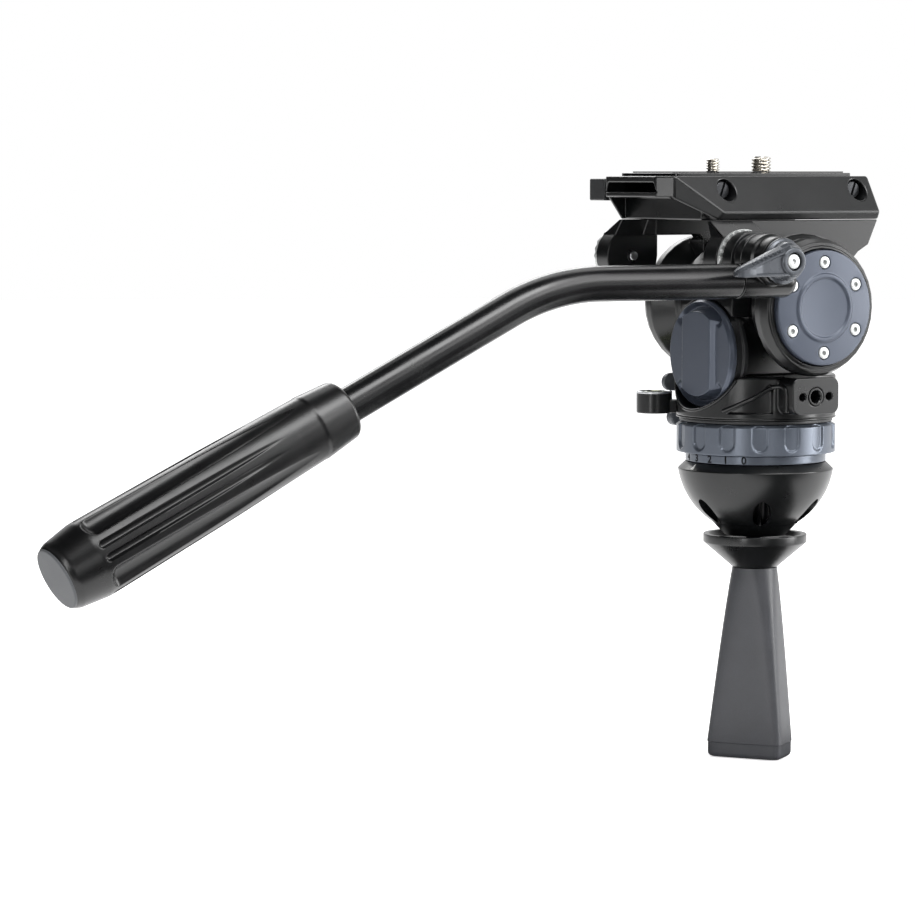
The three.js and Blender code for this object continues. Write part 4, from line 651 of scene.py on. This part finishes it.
def pocket_edge():
    """The lip of the knob's pocket where it runs out on the round wall: y = R sin t,
    z = c - R cos t, x = -sqrt(r^2 - y^2)."""
    reach = math.radians(66)
    t = np.linspace(-reach, reach, 60)
    y, z = KNOB_POCKET_R * np.sin(t), KNOB_Z - KNOB_POCKET_R * np.cos(t)
    return np.column_stack([-np.sqrt(BASE_R ** 2 - y ** 2), y, z])


piece("knob_pocket_lip", bead(pocket_edge(), 0.8, 12), black_enamel, "pan_head", crease=60)

# The sleeve in the accessory pad, seen end on: a ring with a chamfered mouth
SLEEVE = [[2.8, 38], [4.1, 38], [4.1, 47], [3.3, 47], [2.8, 46.5]]
piece("accessory_thread", turned(SLEEVE, 48, RIGHT, (0, 0, INSERT_Z), ease=0.1), black_anodised, "pan_head",
      ("thread_insert",))

# Bubble level

LEVEL_X, LEVEL_Y = -40.3, 27.0
BUBBLE_DRIFT = 0.8


def level_piece(name, profile, sides, ease, finish, replaces=(), aside=0.0):
    """A turned piece of the level, on the level's own axis or a little aside of it."""
    mesh = turned(profile, sides, at=(LEVEL_X + aside, LEVEL_Y, 0), ease=ease)
    piece(name, mesh, finish, "pan_head", replaces)


casting("level_bracket", "level_cup", black_enamel, "pan_head", edge=0.35)
LEVEL_RIM = [[7.3, 36.2], [7.3, 37.0], [7.7, 37.25], [8.3, 37.25], [8.62, 36.95], [8.62, 36.2]]
level_piece("level_rim", LEVEL_RIM, 96, 0.1, bright_steel)
CELL = [[0, 33.4], [6.9, 33.4], [6.9, 36.3], [4.8, 37.0], [0, 37.35]]
level_piece("level_spirit_cell", CELL, 64, 0.4, vial_spirit, ("level_vial",))
BUBBLE = [[0, 37.28], [2.1, 37.28], [1.9, 37.5], [0, 37.6]]
level_piece("level_bubble_spot", BUBBLE, 40, 0.1, vial_bubble, aside=BUBBLE_DRIFT)
CIRCLE = [[3.3, 37.1], [3.6, 37.1], [3.6, 37.32], [3.3, 37.35]]
level_piece("level_circle", CIRCLE, 64, 0, ink_dark)

# Tilt drag knob

KNOB_R, KNOB_FACE, KNOB_TOP, KNOB_BACK = 25.5, 33.3, 35.6, 29.4
KNOB_BAR_HALF, KNOB_BAR_REACH = 11.0, 19.8


def knob():
    """A height over a disc: h = max(face - scoop(r, z), min(bar(y), end(r))), the step
    eased by a log-sum, then a wall down to a flat back. The bar has 45 degree chamfers, and
    a scoop lies between each end of the bar and the rim."""
    rim, rim_drop, scoop_deep, scoop_r, scoop_half = 0.8, 0.7, 3.4, 22.0, 2.5
    bar_drop, end_slope, ease, sides = 6, 2.4, 0.14, 320
    flat = KNOB_R - rim
    r = np.concatenate([np.linspace(0, 17, 40), np.linspace(17.2, flat, 56)])
    t = full_turn(sides)
    y, z = r[:, None] * np.cos(t), r[:, None] * np.sin(t)
    rr = np.broadcast_to(r[:, None], y.shape)
    # the scoops stand above and below the bar, and fade out towards its flanks
    steep = np.clip((np.abs(z) / np.maximum(rr, 1) - 0.62) / 0.2, 0, 1)
    fade = steep * steep * (3 - 2 * steep)
    scoop = scoop_deep * np.clip(1 - ((rr - scoop_r) / scoop_half) ** 2, 0, 1) * fade
    edge = rim_drop * np.clip((rr - (KNOB_R - 2 * rim)) / rim, 0, 1) ** 2
    bar = KNOB_TOP - np.clip(np.abs(y) - KNOB_BAR_HALF, 0, bar_drop)
    end = KNOB_TOP + 0.2 - end_slope * np.clip(rr - KNOB_BAR_REACH, 0, bar_drop)
    h = ease * np.logaddexp((KNOB_FACE - scoop - edge) / ease, np.minimum(bar, end) / ease)
    grid = np.stack([y, z, h], axis=2)
    front = float(h[-1].mean())
    wall = eased([
        [flat, front], [KNOB_R, front - 0.9], [KNOB_R, KNOB_BACK + 0.6], [KNOB_R - 0.6, KNOB_BACK],
        [0, KNOB_BACK],
    ], 0.4)
    full = np.concatenate([grid, turned_points(wall[1:], sides)])
    # the grid's x, y, z stand for the scene's y, z, -x
    turn = np.array([[0, 0, -1], [1, 0, 0], [0, 1, 0]], float)
    return grid_mesh(full, turn, (0, 0, KNOB_Z))


piece("tilt_drag_knob_moulded", knob(), knob_blue_grey, "drag_knob", ("tilt_drag_knob",), crease=50)
BEZEL = [[12, 23.7], [26, 23.7], [26, 25.7], [24.8, 26.2], [24.8, 29.1], [12, 29.1]]
piece("knob_bezel_turned", turned(BEZEL, 128, REAR, (0, 0, KNOB_Z)), black_nylon, "pan_head", ("knob_bezel",))

# Locks

casting("pan_lock_lever_moulded", "pan_lock_lever", lever_grey, "pan_lock", edge=0.9)
casting("tilt_lock_lever_moulded", "tilt_lock_lever", lever_grey, "tilt_lock", edge=0.6)
casting("plate_lock_lever_moulded", "plate_lock_lever", black_nylon, "plate_lock", edge=0.7)

# Platform and drums

SCREW_HOLE_Z = TILT_Z + 54.4
CAP_FACE, CAP_BACK, CAP_R = 53.0, 48.1, 26.8
CAP_SCREWS, CAP_SCREW_CIRCLE, CAP_SCREW_R, CAP_SCREW_HEAD = 6, 21.05, 2.85, 2.6

casting("platform_cast", "platform", black_enamel, "tilt_head", edge=0.7, limit=12)
for side in ("right", "left"):
    casting("drum_housing_cast_" + side, "drum_housing_" + side, black_enamel, "tilt_head", edge=0.5)


def set_screw():
    """A slotted set screw: a turned plug with a chamfer and one slot across it."""
    back, face, radius, chamfer, slot_half, slot_floor = 24.9, 27.4, 4.1, 0.5, 0.65, 26.1
    plug = [[0, back], [radius, back], [radius, face - chamfer], [radius - chamfer, face], [0, face]]
    slot = [[-slot_half, -5], [slot_half, -5], [slot_half, 5], [-slot_half, 5]]
    return carved(turned(plug, 48, ease=0.12), [prism(slot, slot_floor, 29)])


SLOT_TURN = math.radians(-20)
for label, x in (("rear", -40.4), ("front", 36.0)):
    screw = moved_mesh(set_screw(), RIGHT @ spun(SLOT_TURN), (x, 0, SCREW_HOLE_Z))
    piece("rail_set_screw_" + label, screw, dark_steel, "tilt_head")


def screw_circle():
    """Places of the cap screws on their circle: x = R cos a, z = R sin a, from the top on."""
    angles = np.pi / 2 + full_turn(CAP_SCREWS)
    return list(zip(CAP_SCREW_CIRCLE * np.cos(angles), CAP_SCREW_CIRCLE * np.sin(angles)))


def drum_cap(turn):
    """A turned cap with a raised ring, and six counterbores cut for its screws."""
    ridge = CAP_FACE + 0.75
    profile = [
        [0, CAP_BACK], [CAP_R, CAP_BACK], [CAP_R, CAP_FACE], [16.3, CAP_FACE], [15.6, ridge],
        [14.1, ridge], [13.4, CAP_FACE], [0, CAP_FACE],
    ]
    bore = [[0, 50.1], [3.15, 50.1], [3.15, CAP_FACE - 0.4], [3.6, CAP_FACE + 0.2], [3.6, 56], [0, 56]]
    cutters = [turned(bore, 40, at=(x, z, 0), ease=0) for x, z in screw_circle()]
    return moved_mesh(carved(turned(profile, 160, ease=0.6), cutters), turn, (0, 0, TILT_Z))


def socket_screw(head, height, socket, depth):
    """A screw head as a stack of rings: a rounded rim, a flat land, then a hexagonal socket
    whose ring follows r = s cos 30 / cos(a mod 60 - 30)."""
    sides, edge, mouth = 48, 0.45, 0.12
    a = full_turn(sides)
    hexagon = socket / np.cos((a % (np.pi / 3)) - np.pi / 6) * math.cos(math.pi / 6)
    rings = [(0, -height), (head, -height), (head, -edge)]
    for t in np.linspace(0, math.pi / 2, 5)[1:]:
        rings.append((head - edge * (1 - math.cos(t)), -edge + edge * math.sin(t)))
    rings += [(hexagon + mouth, 0.0), (hexagon, -mouth), (hexagon, -depth), (0, -depth - 0.3)]
    return np.concatenate([round_rows(r * np.ones((1, sides)), a, z) for r, z in rings])


for side, turn, outward in (("right", RIGHT, 1), ("left", LEFT, -1)):
    piece("drum_cap_turned_" + side, drum_cap(turn), cap_blue_grey, "tilt_head", ("drum_cap_" + side,))
    for number, (x, z) in enumerate(screw_circle(), 1):
        at = (x, -CAP_FACE * outward, TILT_Z + z * outward)
        head = grid_mesh(socket_screw(CAP_SCREW_R, CAP_SCREW_HEAD, 1.25, 1.3), turn, at)
        piece("cap_screw_head_%s_%d" % (side, number), head, white_zinc, "tilt_head",
              ("cap_screw_%s_%d" % (side, number),))

# Rosettes

for side in ("right", "left"):
    casting("rosette_cut_" + side, "rosette_" + side, white_zinc, "tilt_head", edge=0.08)
casting("rosette_stud", "rosette_screw", bright_steel, "tilt_head", edge=0.2)

# Camera plate, pad and screws

PLATE_TOP = 62.4 + TILT_Z
SCREW_POCKET = 52.2 + TILT_Z + 0.5
SMALL_SCREW_X, LARGE_SCREW_X = -26.1, 2.2

casting("camera_plate_milled", "camera_plate", black_anodised, "plate", edge=0.35)
casting("plate_pad_cut", "plate_pad", cork_rubber, "plate", edge=0.15)
small_thread = threaded(3.16, 1.27, PLATE_TOP - 5, PLATE_TOP + 6.8, 0.8, at=(SMALL_SCREW_X, 0, 0))
piece("quarter_inch_thread", small_thread, screw_steel, "small_screw", ("quarter_inch_screw",))
large_thread = threaded(4.74, 1.5875, PLATE_TOP - 5, PLATE_TOP + 7.8, 1.0, at=(LARGE_SCREW_X, 0, 0))
piece("three_eighths_inch_thread", large_thread, screw_steel, "large_screw",
      ("three_eighths_inch_screw",))
for label, x, head in (("small", SMALL_SCREW_X, 6.4), ("large", LARGE_SCREW_X, 7.6)):
    mesh = turned(disc_profile(head, SCREW_POCKET, SCREW_POCKET + 3), 48, at=(x, 0, 0))
    piece("camera_screw_head_" + label, mesh, bright_steel, label + "_screw")

# Pan bar: its clamp's heights are distances from the head's middle along the clamp's axis

TUBE_R, TUBE_BORE = 8.0, 6.4
SEAM = 15.0
# The bend starts this far behind the clamp, and the tube runs on below it
BEND_X, BEND_RADIUS, LOWER_LENGTH = -89.1, 110.0, 212.5

BARREL = [
    [4.5, 51.9], [13.2, 51.9], [13.2, 59.0], [11.5, 59.0], [11.5, 60.5], [12.3, 60.5], [12.3, 64.6],
    [11.9, 64.9], [11.9, 65.5], [12.3, 65.8], [12.3, 72.0], [11.0, 73.3], [11.0, 79.0], [4.5, 79.0],
]
piece("clamp_barrel", turned(BARREL, 128, RIGHT, (CLAMP_X, 0, CLAMP_Z), ease=0.4), black_enamel, "pan_bar",
      ("bar_socket",))
SOCKET = [
    [0, -15.5], [4.4, -15.5], [6.9, -14.4], [TUBE_R, -11.9], [TUBE_R, SEAM - 0.15], [6.1, SEAM],
    [6.1, 41], [0, 41],
]
piece("bar_socket_end", turned(SOCKET, 96, REAR, (CLAMP_X, BAR_Y, BAR_Z), ease=1.2), black_anodised,
      "pan_bar")


def bar_path():
    """The tube's centre line by length: straight, an arc of the bend's radius, straight."""
    start = -SEAM - 0.3
    first, arc = start - BEND_X, BEND_RADIUS * BEND_ANGLE
    # a few close steps first, for the round of the tube's end
    s = np.concatenate([np.linspace(0, 0.9, 8), np.linspace(1.2, first + arc + LOWER_LENGTH, 240)])
    turn = np.clip((s - first) / BEND_RADIUS, 0, BEND_ANGLE)
    run = np.clip(s - first - arc, 0, None)
    bent = BEND_X - BEND_RADIUS * np.sin(turn) - run * math.cos(BEND_ANGLE)
    x = np.where(s < first, start - s, bent)
    z = -BEND_RADIUS * (1 - np.cos(turn)) - run * math.sin(BEND_ANGLE)
    return x, z, turn


def bar_tube():
    """Circles of the tube's radius square to the centre line, then circles of its bore back
    again; the outer ones draw in at the end as the square of the distance left."""
    edge, edge_length = 0.5, 0.7
    x, z, turn = bar_path()
    a = full_turn(72)
    sheets = []
    for inner, order in ((False, slice(None)), (True, slice(None, None, -1))):
        cx, cz, ct = x[order, None], z[order, None], turn[order, None]
        drawn_in = edge * np.clip(1 - (x[0] - cx) / edge_length, 0, 1) ** 2
        radius = TUBE_BORE if inner else TUBE_R - drawn_in
        up_x, up_z = -np.sin(ct), np.cos(ct)
        sheets.append(np.stack([
            cx + radius * np.cos(a) * up_x, radius * np.sin(a) + 0 * cx, cz + radius * np.cos(a) * up_z,
        ], axis=2))
    return grid_mesh(np.concatenate(sheets), at=(CLAMP_X, BAR_Y, BAR_Z), close_rows=True)


piece("bar_tube_bent", bar_tube(), black_anodised, "pan_bar", ("bar_tube",))

# Grip: places are lengths along it from its upper mouth

GRIP_LENGTH, GRIP_START, GRIP_R, GRIP_MOUTH = 147.2, 91.7, 16.9, 8.3
GRIP_AT = (
    CLAMP_X + BEND_X - BEND_RADIUS * math.sin(BEND_ANGLE) - GRIP_START * math.cos(BEND_ANGLE), BAR_Y,
    BAR_Z - BEND_RADIUS * (1 - math.cos(BEND_ANGLE)) - GRIP_START * math.sin(BEND_ANGLE),
)
# Columns: the grip's upward direction, its sideways direction and the way along it
GRIP_TURN = np.column_stack([
    [-math.sin(BEND_ANGLE), 0, math.cos(BEND_ANGLE)],
    [0, 1, 0],
    [-math.cos(BEND_ANGLE), 0, -math.sin(BEND_ANGLE)],
])
GRIP_SIDES = 480
SCOOPS, FIRST_SCOOP, GROOVE_SPREAD = 4, math.radians(61), math.radians(10.4)
# Cutters: radius, distance of the axis at the far end, first and last place, length of the
# nose, and how far the cutter leaves the grip for each millimetre towards the mouth
SCOOP = (7.8, GRIP_R + 7.8 - 3.2, 12, 132.5, 4.9, 0.0095)
GROOVE = (1.5, 16.0, 24.6, 130.5, 1.4, 0.007)


def cut_side(along, around, phase, radius, distance, first, last, nose, slant):
    """A round cutter's near side along the grip. Its distance grows with the slant, and its
    radius shrinks as sqrt(1 - u^2) at both ends."""
    widest, lead = 0.9, nose * 0.3
    centre = distance + slant * (last - along)
    away = np.abs(np.angle(np.exp(1j * (around - phase))))
    end = np.clip((along - (last - nose)) / nose, 0, 1)
    begin = np.clip((first + lead - along) / lead, 0, 1)
    size = radius * np.sqrt(np.maximum(1 - end ** 2, 0)) * np.sqrt(np.maximum(1 - begin ** 2, 0))
    cuts = (away < widest) & (along > first) & (along < last)
    return np.where(cuts, near_side(centre, size, away), FAR)


def grip():
    """The grip's radius is a profile R(s), cut by four wide scoops and four pairs of narrow
    grooves: r = min(R, the cutters' sides)."""
    swell = GRIP_LENGTH - 15
    outline = eased([
        [GRIP_MOUTH, 0], [12.4, 0], [13.3, 0.9], [14.8, 17.6], [14.6, 18.2], [15.95, swell * 0.5],
        [GRIP_R, swell - 3.6], [GRIP_R, swell], [15.0, GRIP_LENGTH - 2.4], [13.8, GRIP_LENGTH - 0.1],
        [13.5, GRIP_LENGTH],
    ], 0.9, 6)
    # rows stand closer at both ends, where the cuts begin and end
    s = np.unique(np.concatenate([
        np.linspace(0, 30, 64), np.linspace(30, 120, 46), np.linspace(120, GRIP_LENGTH, 88),
    ]))
    along, around = s[:, None], full_turn(GRIP_SIDES)
    # the outline's first two points are in the mouth
    radius = np.interp(along, outline[2:, 1], outline[2:, 0])
    for k in range(SCOOPS):
        phase = FIRST_SCOOP + k * 2 * math.pi / SCOOPS
        radius = np.minimum(radius, cut_side(along, around, phase, *SCOOP))
        for spread in (-GROOVE_SPREAD, GROOVE_SPREAD):
            between = phase + math.pi / SCOOPS + spread
            radius = np.minimum(radius, cut_side(along, around, between, *GROOVE))
    # the cut edges are eased by a short blur round and along
    radius = (np.roll(radius, 1, 1) + 2 * radius + np.roll(radius, -1, 1)) / 4
    inner = (radius[:-2] + 2 * radius[1:-1] + radius[2:]) / 4
    radius = np.vstack([radius[:1], inner, radius[-1:]])
    grid = round_rows(radius, around, along)
    mouth = turned_points([[GRIP_MOUTH, 12.0], [GRIP_MOUTH, 0.6], [GRIP_MOUTH + 0.6, 0.0]], GRIP_SIDES)
    back = turned_points([
        [13.2, GRIP_LENGTH - 0.2], [13.0, GRIP_LENGTH - 0.4], [GRIP_MOUTH, GRIP_LENGTH - 0.4],
    ], GRIP_SIDES)
    return grid_mesh(np.concatenate([mouth, grid, back]), GRIP_TURN, GRIP_AT, close_rows=True)


piece("grip_moulded", grip(), grip_rubber, "pan_bar", ("grip",), crease=50)
END_CAP = [
    [0, 138.2], [10.6, 138.2], [10.6, 146.6], [13.5, 146.6], [13.5, 147.5], [13.3, 148.0],
    [12.6, 148.15], [0, 148.15],
]
piece("grip_end_disc", turned(END_CAP, 128, GRIP_TURN, GRIP_AT, ease=0.25), cap_grey, "pan_bar",
      ("grip_end_cap",))

# Clamp lever and bolt: heights are distances from the head's middle along the clamp's axis

ARM_LENGTH, ARM_BACK, ARM_FACE = 30.3, 82.6, 88.9
BOLT_SEAT, BOLT_ROOM = 84.6, 4.1
HUB = [
    [4.6, 79.5], [10.4, 79.5], [10.4, 81.2], [8.9, 82.0], [8.5, 85.6], [7.2, 87.0], [6.4, ARM_FACE],
    [5.9, 89.4], [4.3, 89.4], [BOLT_ROOM, 89.0], [BOLT_ROOM, 85.8], [0, 85.8], [0, 84.0], [4.6, 84.0],
]


def arm_section(u):
    """The arm's outline at a distance u from the hub, as [height, sideways] corners: a flat
    foot, a sunk panel between two borders, a notched ridge and a top that slopes back. All
    corners draw in towards the tip as sqrt(1 - v^2)."""
    notch_deep, panel_deep, panel_end, panel_fade = 0.8, 0.75, 24.5, 8
    nose_start, nose, centre_height, tip_share = 26.6, 3.7, 85.7, 0.35
    share = u / ARM_LENGTH
    foot, ridge, top = -6.4 - 0.4 * share, 6.6 - 11.0 * share, 9.2 - 12.6 * share
    notch = notch_deep * (math.sin(u * 2.6) > 0.35) * (7 < u < 24)
    front = ARM_FACE - 0.5 * share
    panel = front - panel_deep * min(1.0, max(0.0, (panel_end - u) / panel_fade))
    corners = np.array([
        [ARM_BACK, foot + 0.5], [ARM_BACK + 0.8, foot], [front - 0.5, foot], [front, foot + 0.4],
        [front, foot + 1.1], [panel, foot + 1.6], [panel, ridge - 1.5], [front, ridge - 1.0],
        [front, ridge - 0.3], [front - 0.5, ridge + 0.1], [front - 1.1 - notch, ridge + 0.9 - notch],
        [front - 1.6, ridge + 1.2], [ARM_BACK + 2.0, top], [ARM_BACK + 0.6, top - 0.1],
        [ARM_BACK, top - 0.8],
    ])
    middle = np.array([centre_height, (foot + min(ridge, top)) / 2])
    shrink = math.sqrt(max(0.0, 1 - max(0.0, (u - nose_start) / nose) ** 2))
    corners = middle + (corners - middle) * (tip_share + (1 - tip_share) * shrink)
    return np.column_stack([np.full(len(corners), -u), corners[:, 1], corners[:, 0]])


def clamp_lever():
    """A turned hub joined to a loft of the arm's sections, with room for the bolt's head."""
    stations = np.concatenate([np.linspace(1.5, 26.5, 42), np.linspace(26.9, ARM_LENGTH, 12)])
    arm = grid_mesh(np.array([arm_section(u) for u in stations]), flat_ends=True)
    room = turned(disc_profile(BOLT_ROOM, BOLT_SEAT, 92), 96, ease=0)
    hub = turned(HUB, 96, ease=0.5)
    return moved_mesh(carved(arm, [room], [hub]), RIGHT, (CLAMP_X, 0, CLAMP_Z))


piece("clamp_lever_moulded", clamp_lever(), lever_alloy, "bar_clamp", ("clamp_lever",))
bolt = grid_mesh(socket_screw(3.4, 2.6, 1.2, 0.6), RIGHT, (CLAMP_X, -88.7, CLAMP_Z))
piece("clamp_bolt_head", bolt, white_zinc, "bar_clamp", ("clamp_bolt",))

# Inner pieces, which show only when the head is taken apart, keep the frame's shapes

INNER = (
    (black_anodised, ("pan_cartridge", "tilt_cartridge_right", "tilt_cartridge_left")),
    (bright_steel, ("pan_spindle", "pan_bearing", "pan_lock_stem")),
    (bright_steel, ("tilt_axle", "tilt_drag_shaft", "tilt_lock_stem")),
    (bronze, ("handle_nut", "tilt_bearing_right", "tilt_bearing_left")),
)
for finish, nodes in INNER:
    for node in nodes:
        NODES[node].data.materials.clear()
        NODES[node].data.materials.append(finish)

# Floor, light and camera

FLOOR_Z = -139.6


def white_rays(tree):
    """A socket that is 1 for the rays that show the white background: those from the camera
    and those seen in gloss or through glass."""
    path = add(tree, "LightPath")
    seen = path.outputs["Is Camera Ray"]
    for kind in ("Is Glossy Ray", "Is Transmission Ray"):
        larger = add(tree, "Math", {"operation": "MAXIMUM"}, _0=seen, _1=path.outputs[kind])
        seen = larger.outputs[0]
    return seen


def floor():
    """A wide pale disc under the foot of the handle. It glows white to the camera, less so
    near the head, so that it keeps a soft shadow there."""
    mesh = grid_mesh(turned_points([[0.0, FLOOR_Z], [1500.0, FLOOR_Z], [6000.0, FLOOR_Z]], 64))
    shaded(mesh)
    material, tree, shader = new_material(
        "pale_floor", Base_Color=linear("#f4f4f4"), Roughness=0.9, Emission_Color=(1, 1, 1, 1),
    )
    place = add(tree, "TexCoord").outputs["Object"]
    away = add(tree, "VectorMath", {"operation": "LENGTH"}, _0=place)
    # from 0.15 m to 1.4 m away the glow rises from 0.6 to 1
    level = add(tree, "MapRange", {1: 0.15, 2: 1.4, 3: 0.6, 4: 1.0}, _0=away.outputs["Value"])
    glow = add(tree, "Math", {"operation": "MULTIPLY"}, _0=white_rays(tree), _1=level.outputs[0])
    tree.links.new(glow.outputs[0], shader.inputs["Emission Strength"])
    mesh.materials.append(material)
    obj = linked("floor", mesh)


def studio():
    """A white room: full white where it is seen, and a third of that as light."""
    world = bpy.data.worlds.new("studio")
    bpy.context.scene.world = world
    world.use_nodes = True
    tree = world.node_tree
    background = tree.nodes["Background"]
    background.inputs["Color"].default_value = (1, 1, 1, 1)
    level = add(tree, "MapRange", {1: 0.0, 2: 1.0, 3: 0.3, 4: 1.0}, _0=white_rays(tree))
    tree.links.new(level.outputs[0], background.inputs["Strength"])


def lamp(name, place, aim, size, power):
    """A soft rectangular lamp at a place in metres, turned towards a point."""
    light = bpy.data.lights.new(name, "AREA")
    light.shape = "RECTANGLE"
    light.size, light.size_y = size
    light.energy = power
    obj = linked(name, light)
    obj.location = place
    obj.rotation_euler = (Vector(aim) - Vector(place)).to_track_quat("-Z", "Y").to_euler()


def flag(name, corners, colour="#101010"):
    """A matt card, black or grey, out of the picture, which keeps the white room out of the
    gloss of the black pieces: it is seen by reflections alone."""
    mesh = mesh_of(np.array(corners, float), [[0, 1, 2, 3]])
    mesh.materials.append(new_material("matt_card", Base_Color=linear(colour), Roughness=1.0)[0])
    obj = linked(name, mesh)
    obj.visible_camera = False
    obj.visible_shadow = False
    obj.visible_diffuse = False


def standing(start, end, low, high):
    """Corners of a card that stands between two points in plan."""
    return [[*start, low], [*end, low], [*end, high], [*start, high]]


def lying(x, y, height):
    """Corners of a card that lies flat between limits of x and y."""
    return [[x[0], y[0], height], [x[0], y[1], height], [x[1], y[1], height], [x[1], y[0], height]]


floor()
studio()

# The cards stand this far out, and the lying ones float just above the floor
WALL, LOW_CARD, HIGH_CARD = 2600, -130, 1800
flag("flag_back_left", standing((-3500, 2500), (-300, 2500), LOW_CARD, 1600))
flag("flag_left", standing((-WALL, 2500), (-WALL, -WALL), LOW_CARD, 1600))
flag("flag_floor", lying((-3000, 900), (-WALL, -260), LOW_CARD))
flag("flag_floor_right", lying((900, 2400), (-WALL, -260), LOW_CARD), "#8c8c8c")
flag("flag_front", standing((-WALL, -WALL), (700, -WALL), LOW_CARD, HIGH_CARD))
flag("flag_foot", lying((-60, 95), (90, -300), -139))
flag("flag_top", lying((-WALL, 1500), (-WALL, WALL), HIGH_CARD))

# From above: broad light on the tops
lamp("key", (-0.15, -0.8, 1.1), (-0.1, 0, 0.03), (0.9, 0.5), 12)
lamp("box", (0.36, -0.9, 0.83), (-0.05, 0, 0.05), (0.7, 0.85), 7.5)
# From the picture's right: the bright edges of round pieces
lamp("side", (1.2, -0.8, 0.3), (0, 0, 0.05), (0.3, 0.9), 9)
lamp("near", (0.52, -0.5, 0.1), (0, 0, 0.1), (0.26, 0.56), 1.75)
# From beside the camera: the slanted faces
lamp("front", (-0.5, -1.75, 0.02), (0, 0, 0.06), (0.35, 0.8), 2)
# From the picture's left: the left edges
lamp("left", (-1.35, -0.75, 0.2), (0, 0, 0.05), (0.2, 0.9), 5.5)
# Above the camera: a thin line of light on what faces it
lamp("strip", (-0.9, -1.7, 0.5), (-0.15, 0, 0.03), (1.8, 0.1), 2)
# From behind: the far edges, and the views from the other sides
lamp("top", (0.3, 0.45, 1.15), (0, 0, 0.1), (0.9, 0.5), 3)
lamp("back", (0.3, 1.2, 0.9), (0, 0, 0.05), (1.0, 0.5), 8)


def photo_camera():
    """The photograph's long lens, nearly level, from behind and to the right of the head."""
    tilt, azimuth = math.radians(-4.73), math.radians(-31.6)
    camera = bpy.data.cameras.new("camera")
    camera.lens = 135.7
    camera.sensor_width = 36
    camera.clip_start, camera.clip_end = 0.05, 50
    eye = linked("camera", camera)
    eye.location = (-984.75 * MM, -1328.23 * MM, 141.59 * MM)
    eye.rotation_euler = (math.pi / 2 + tilt, 0, azimuth)
    bpy.context.scene.camera = eye


photo_camera()
bpy.context.scene.view_settings.view_transform = "Standard"
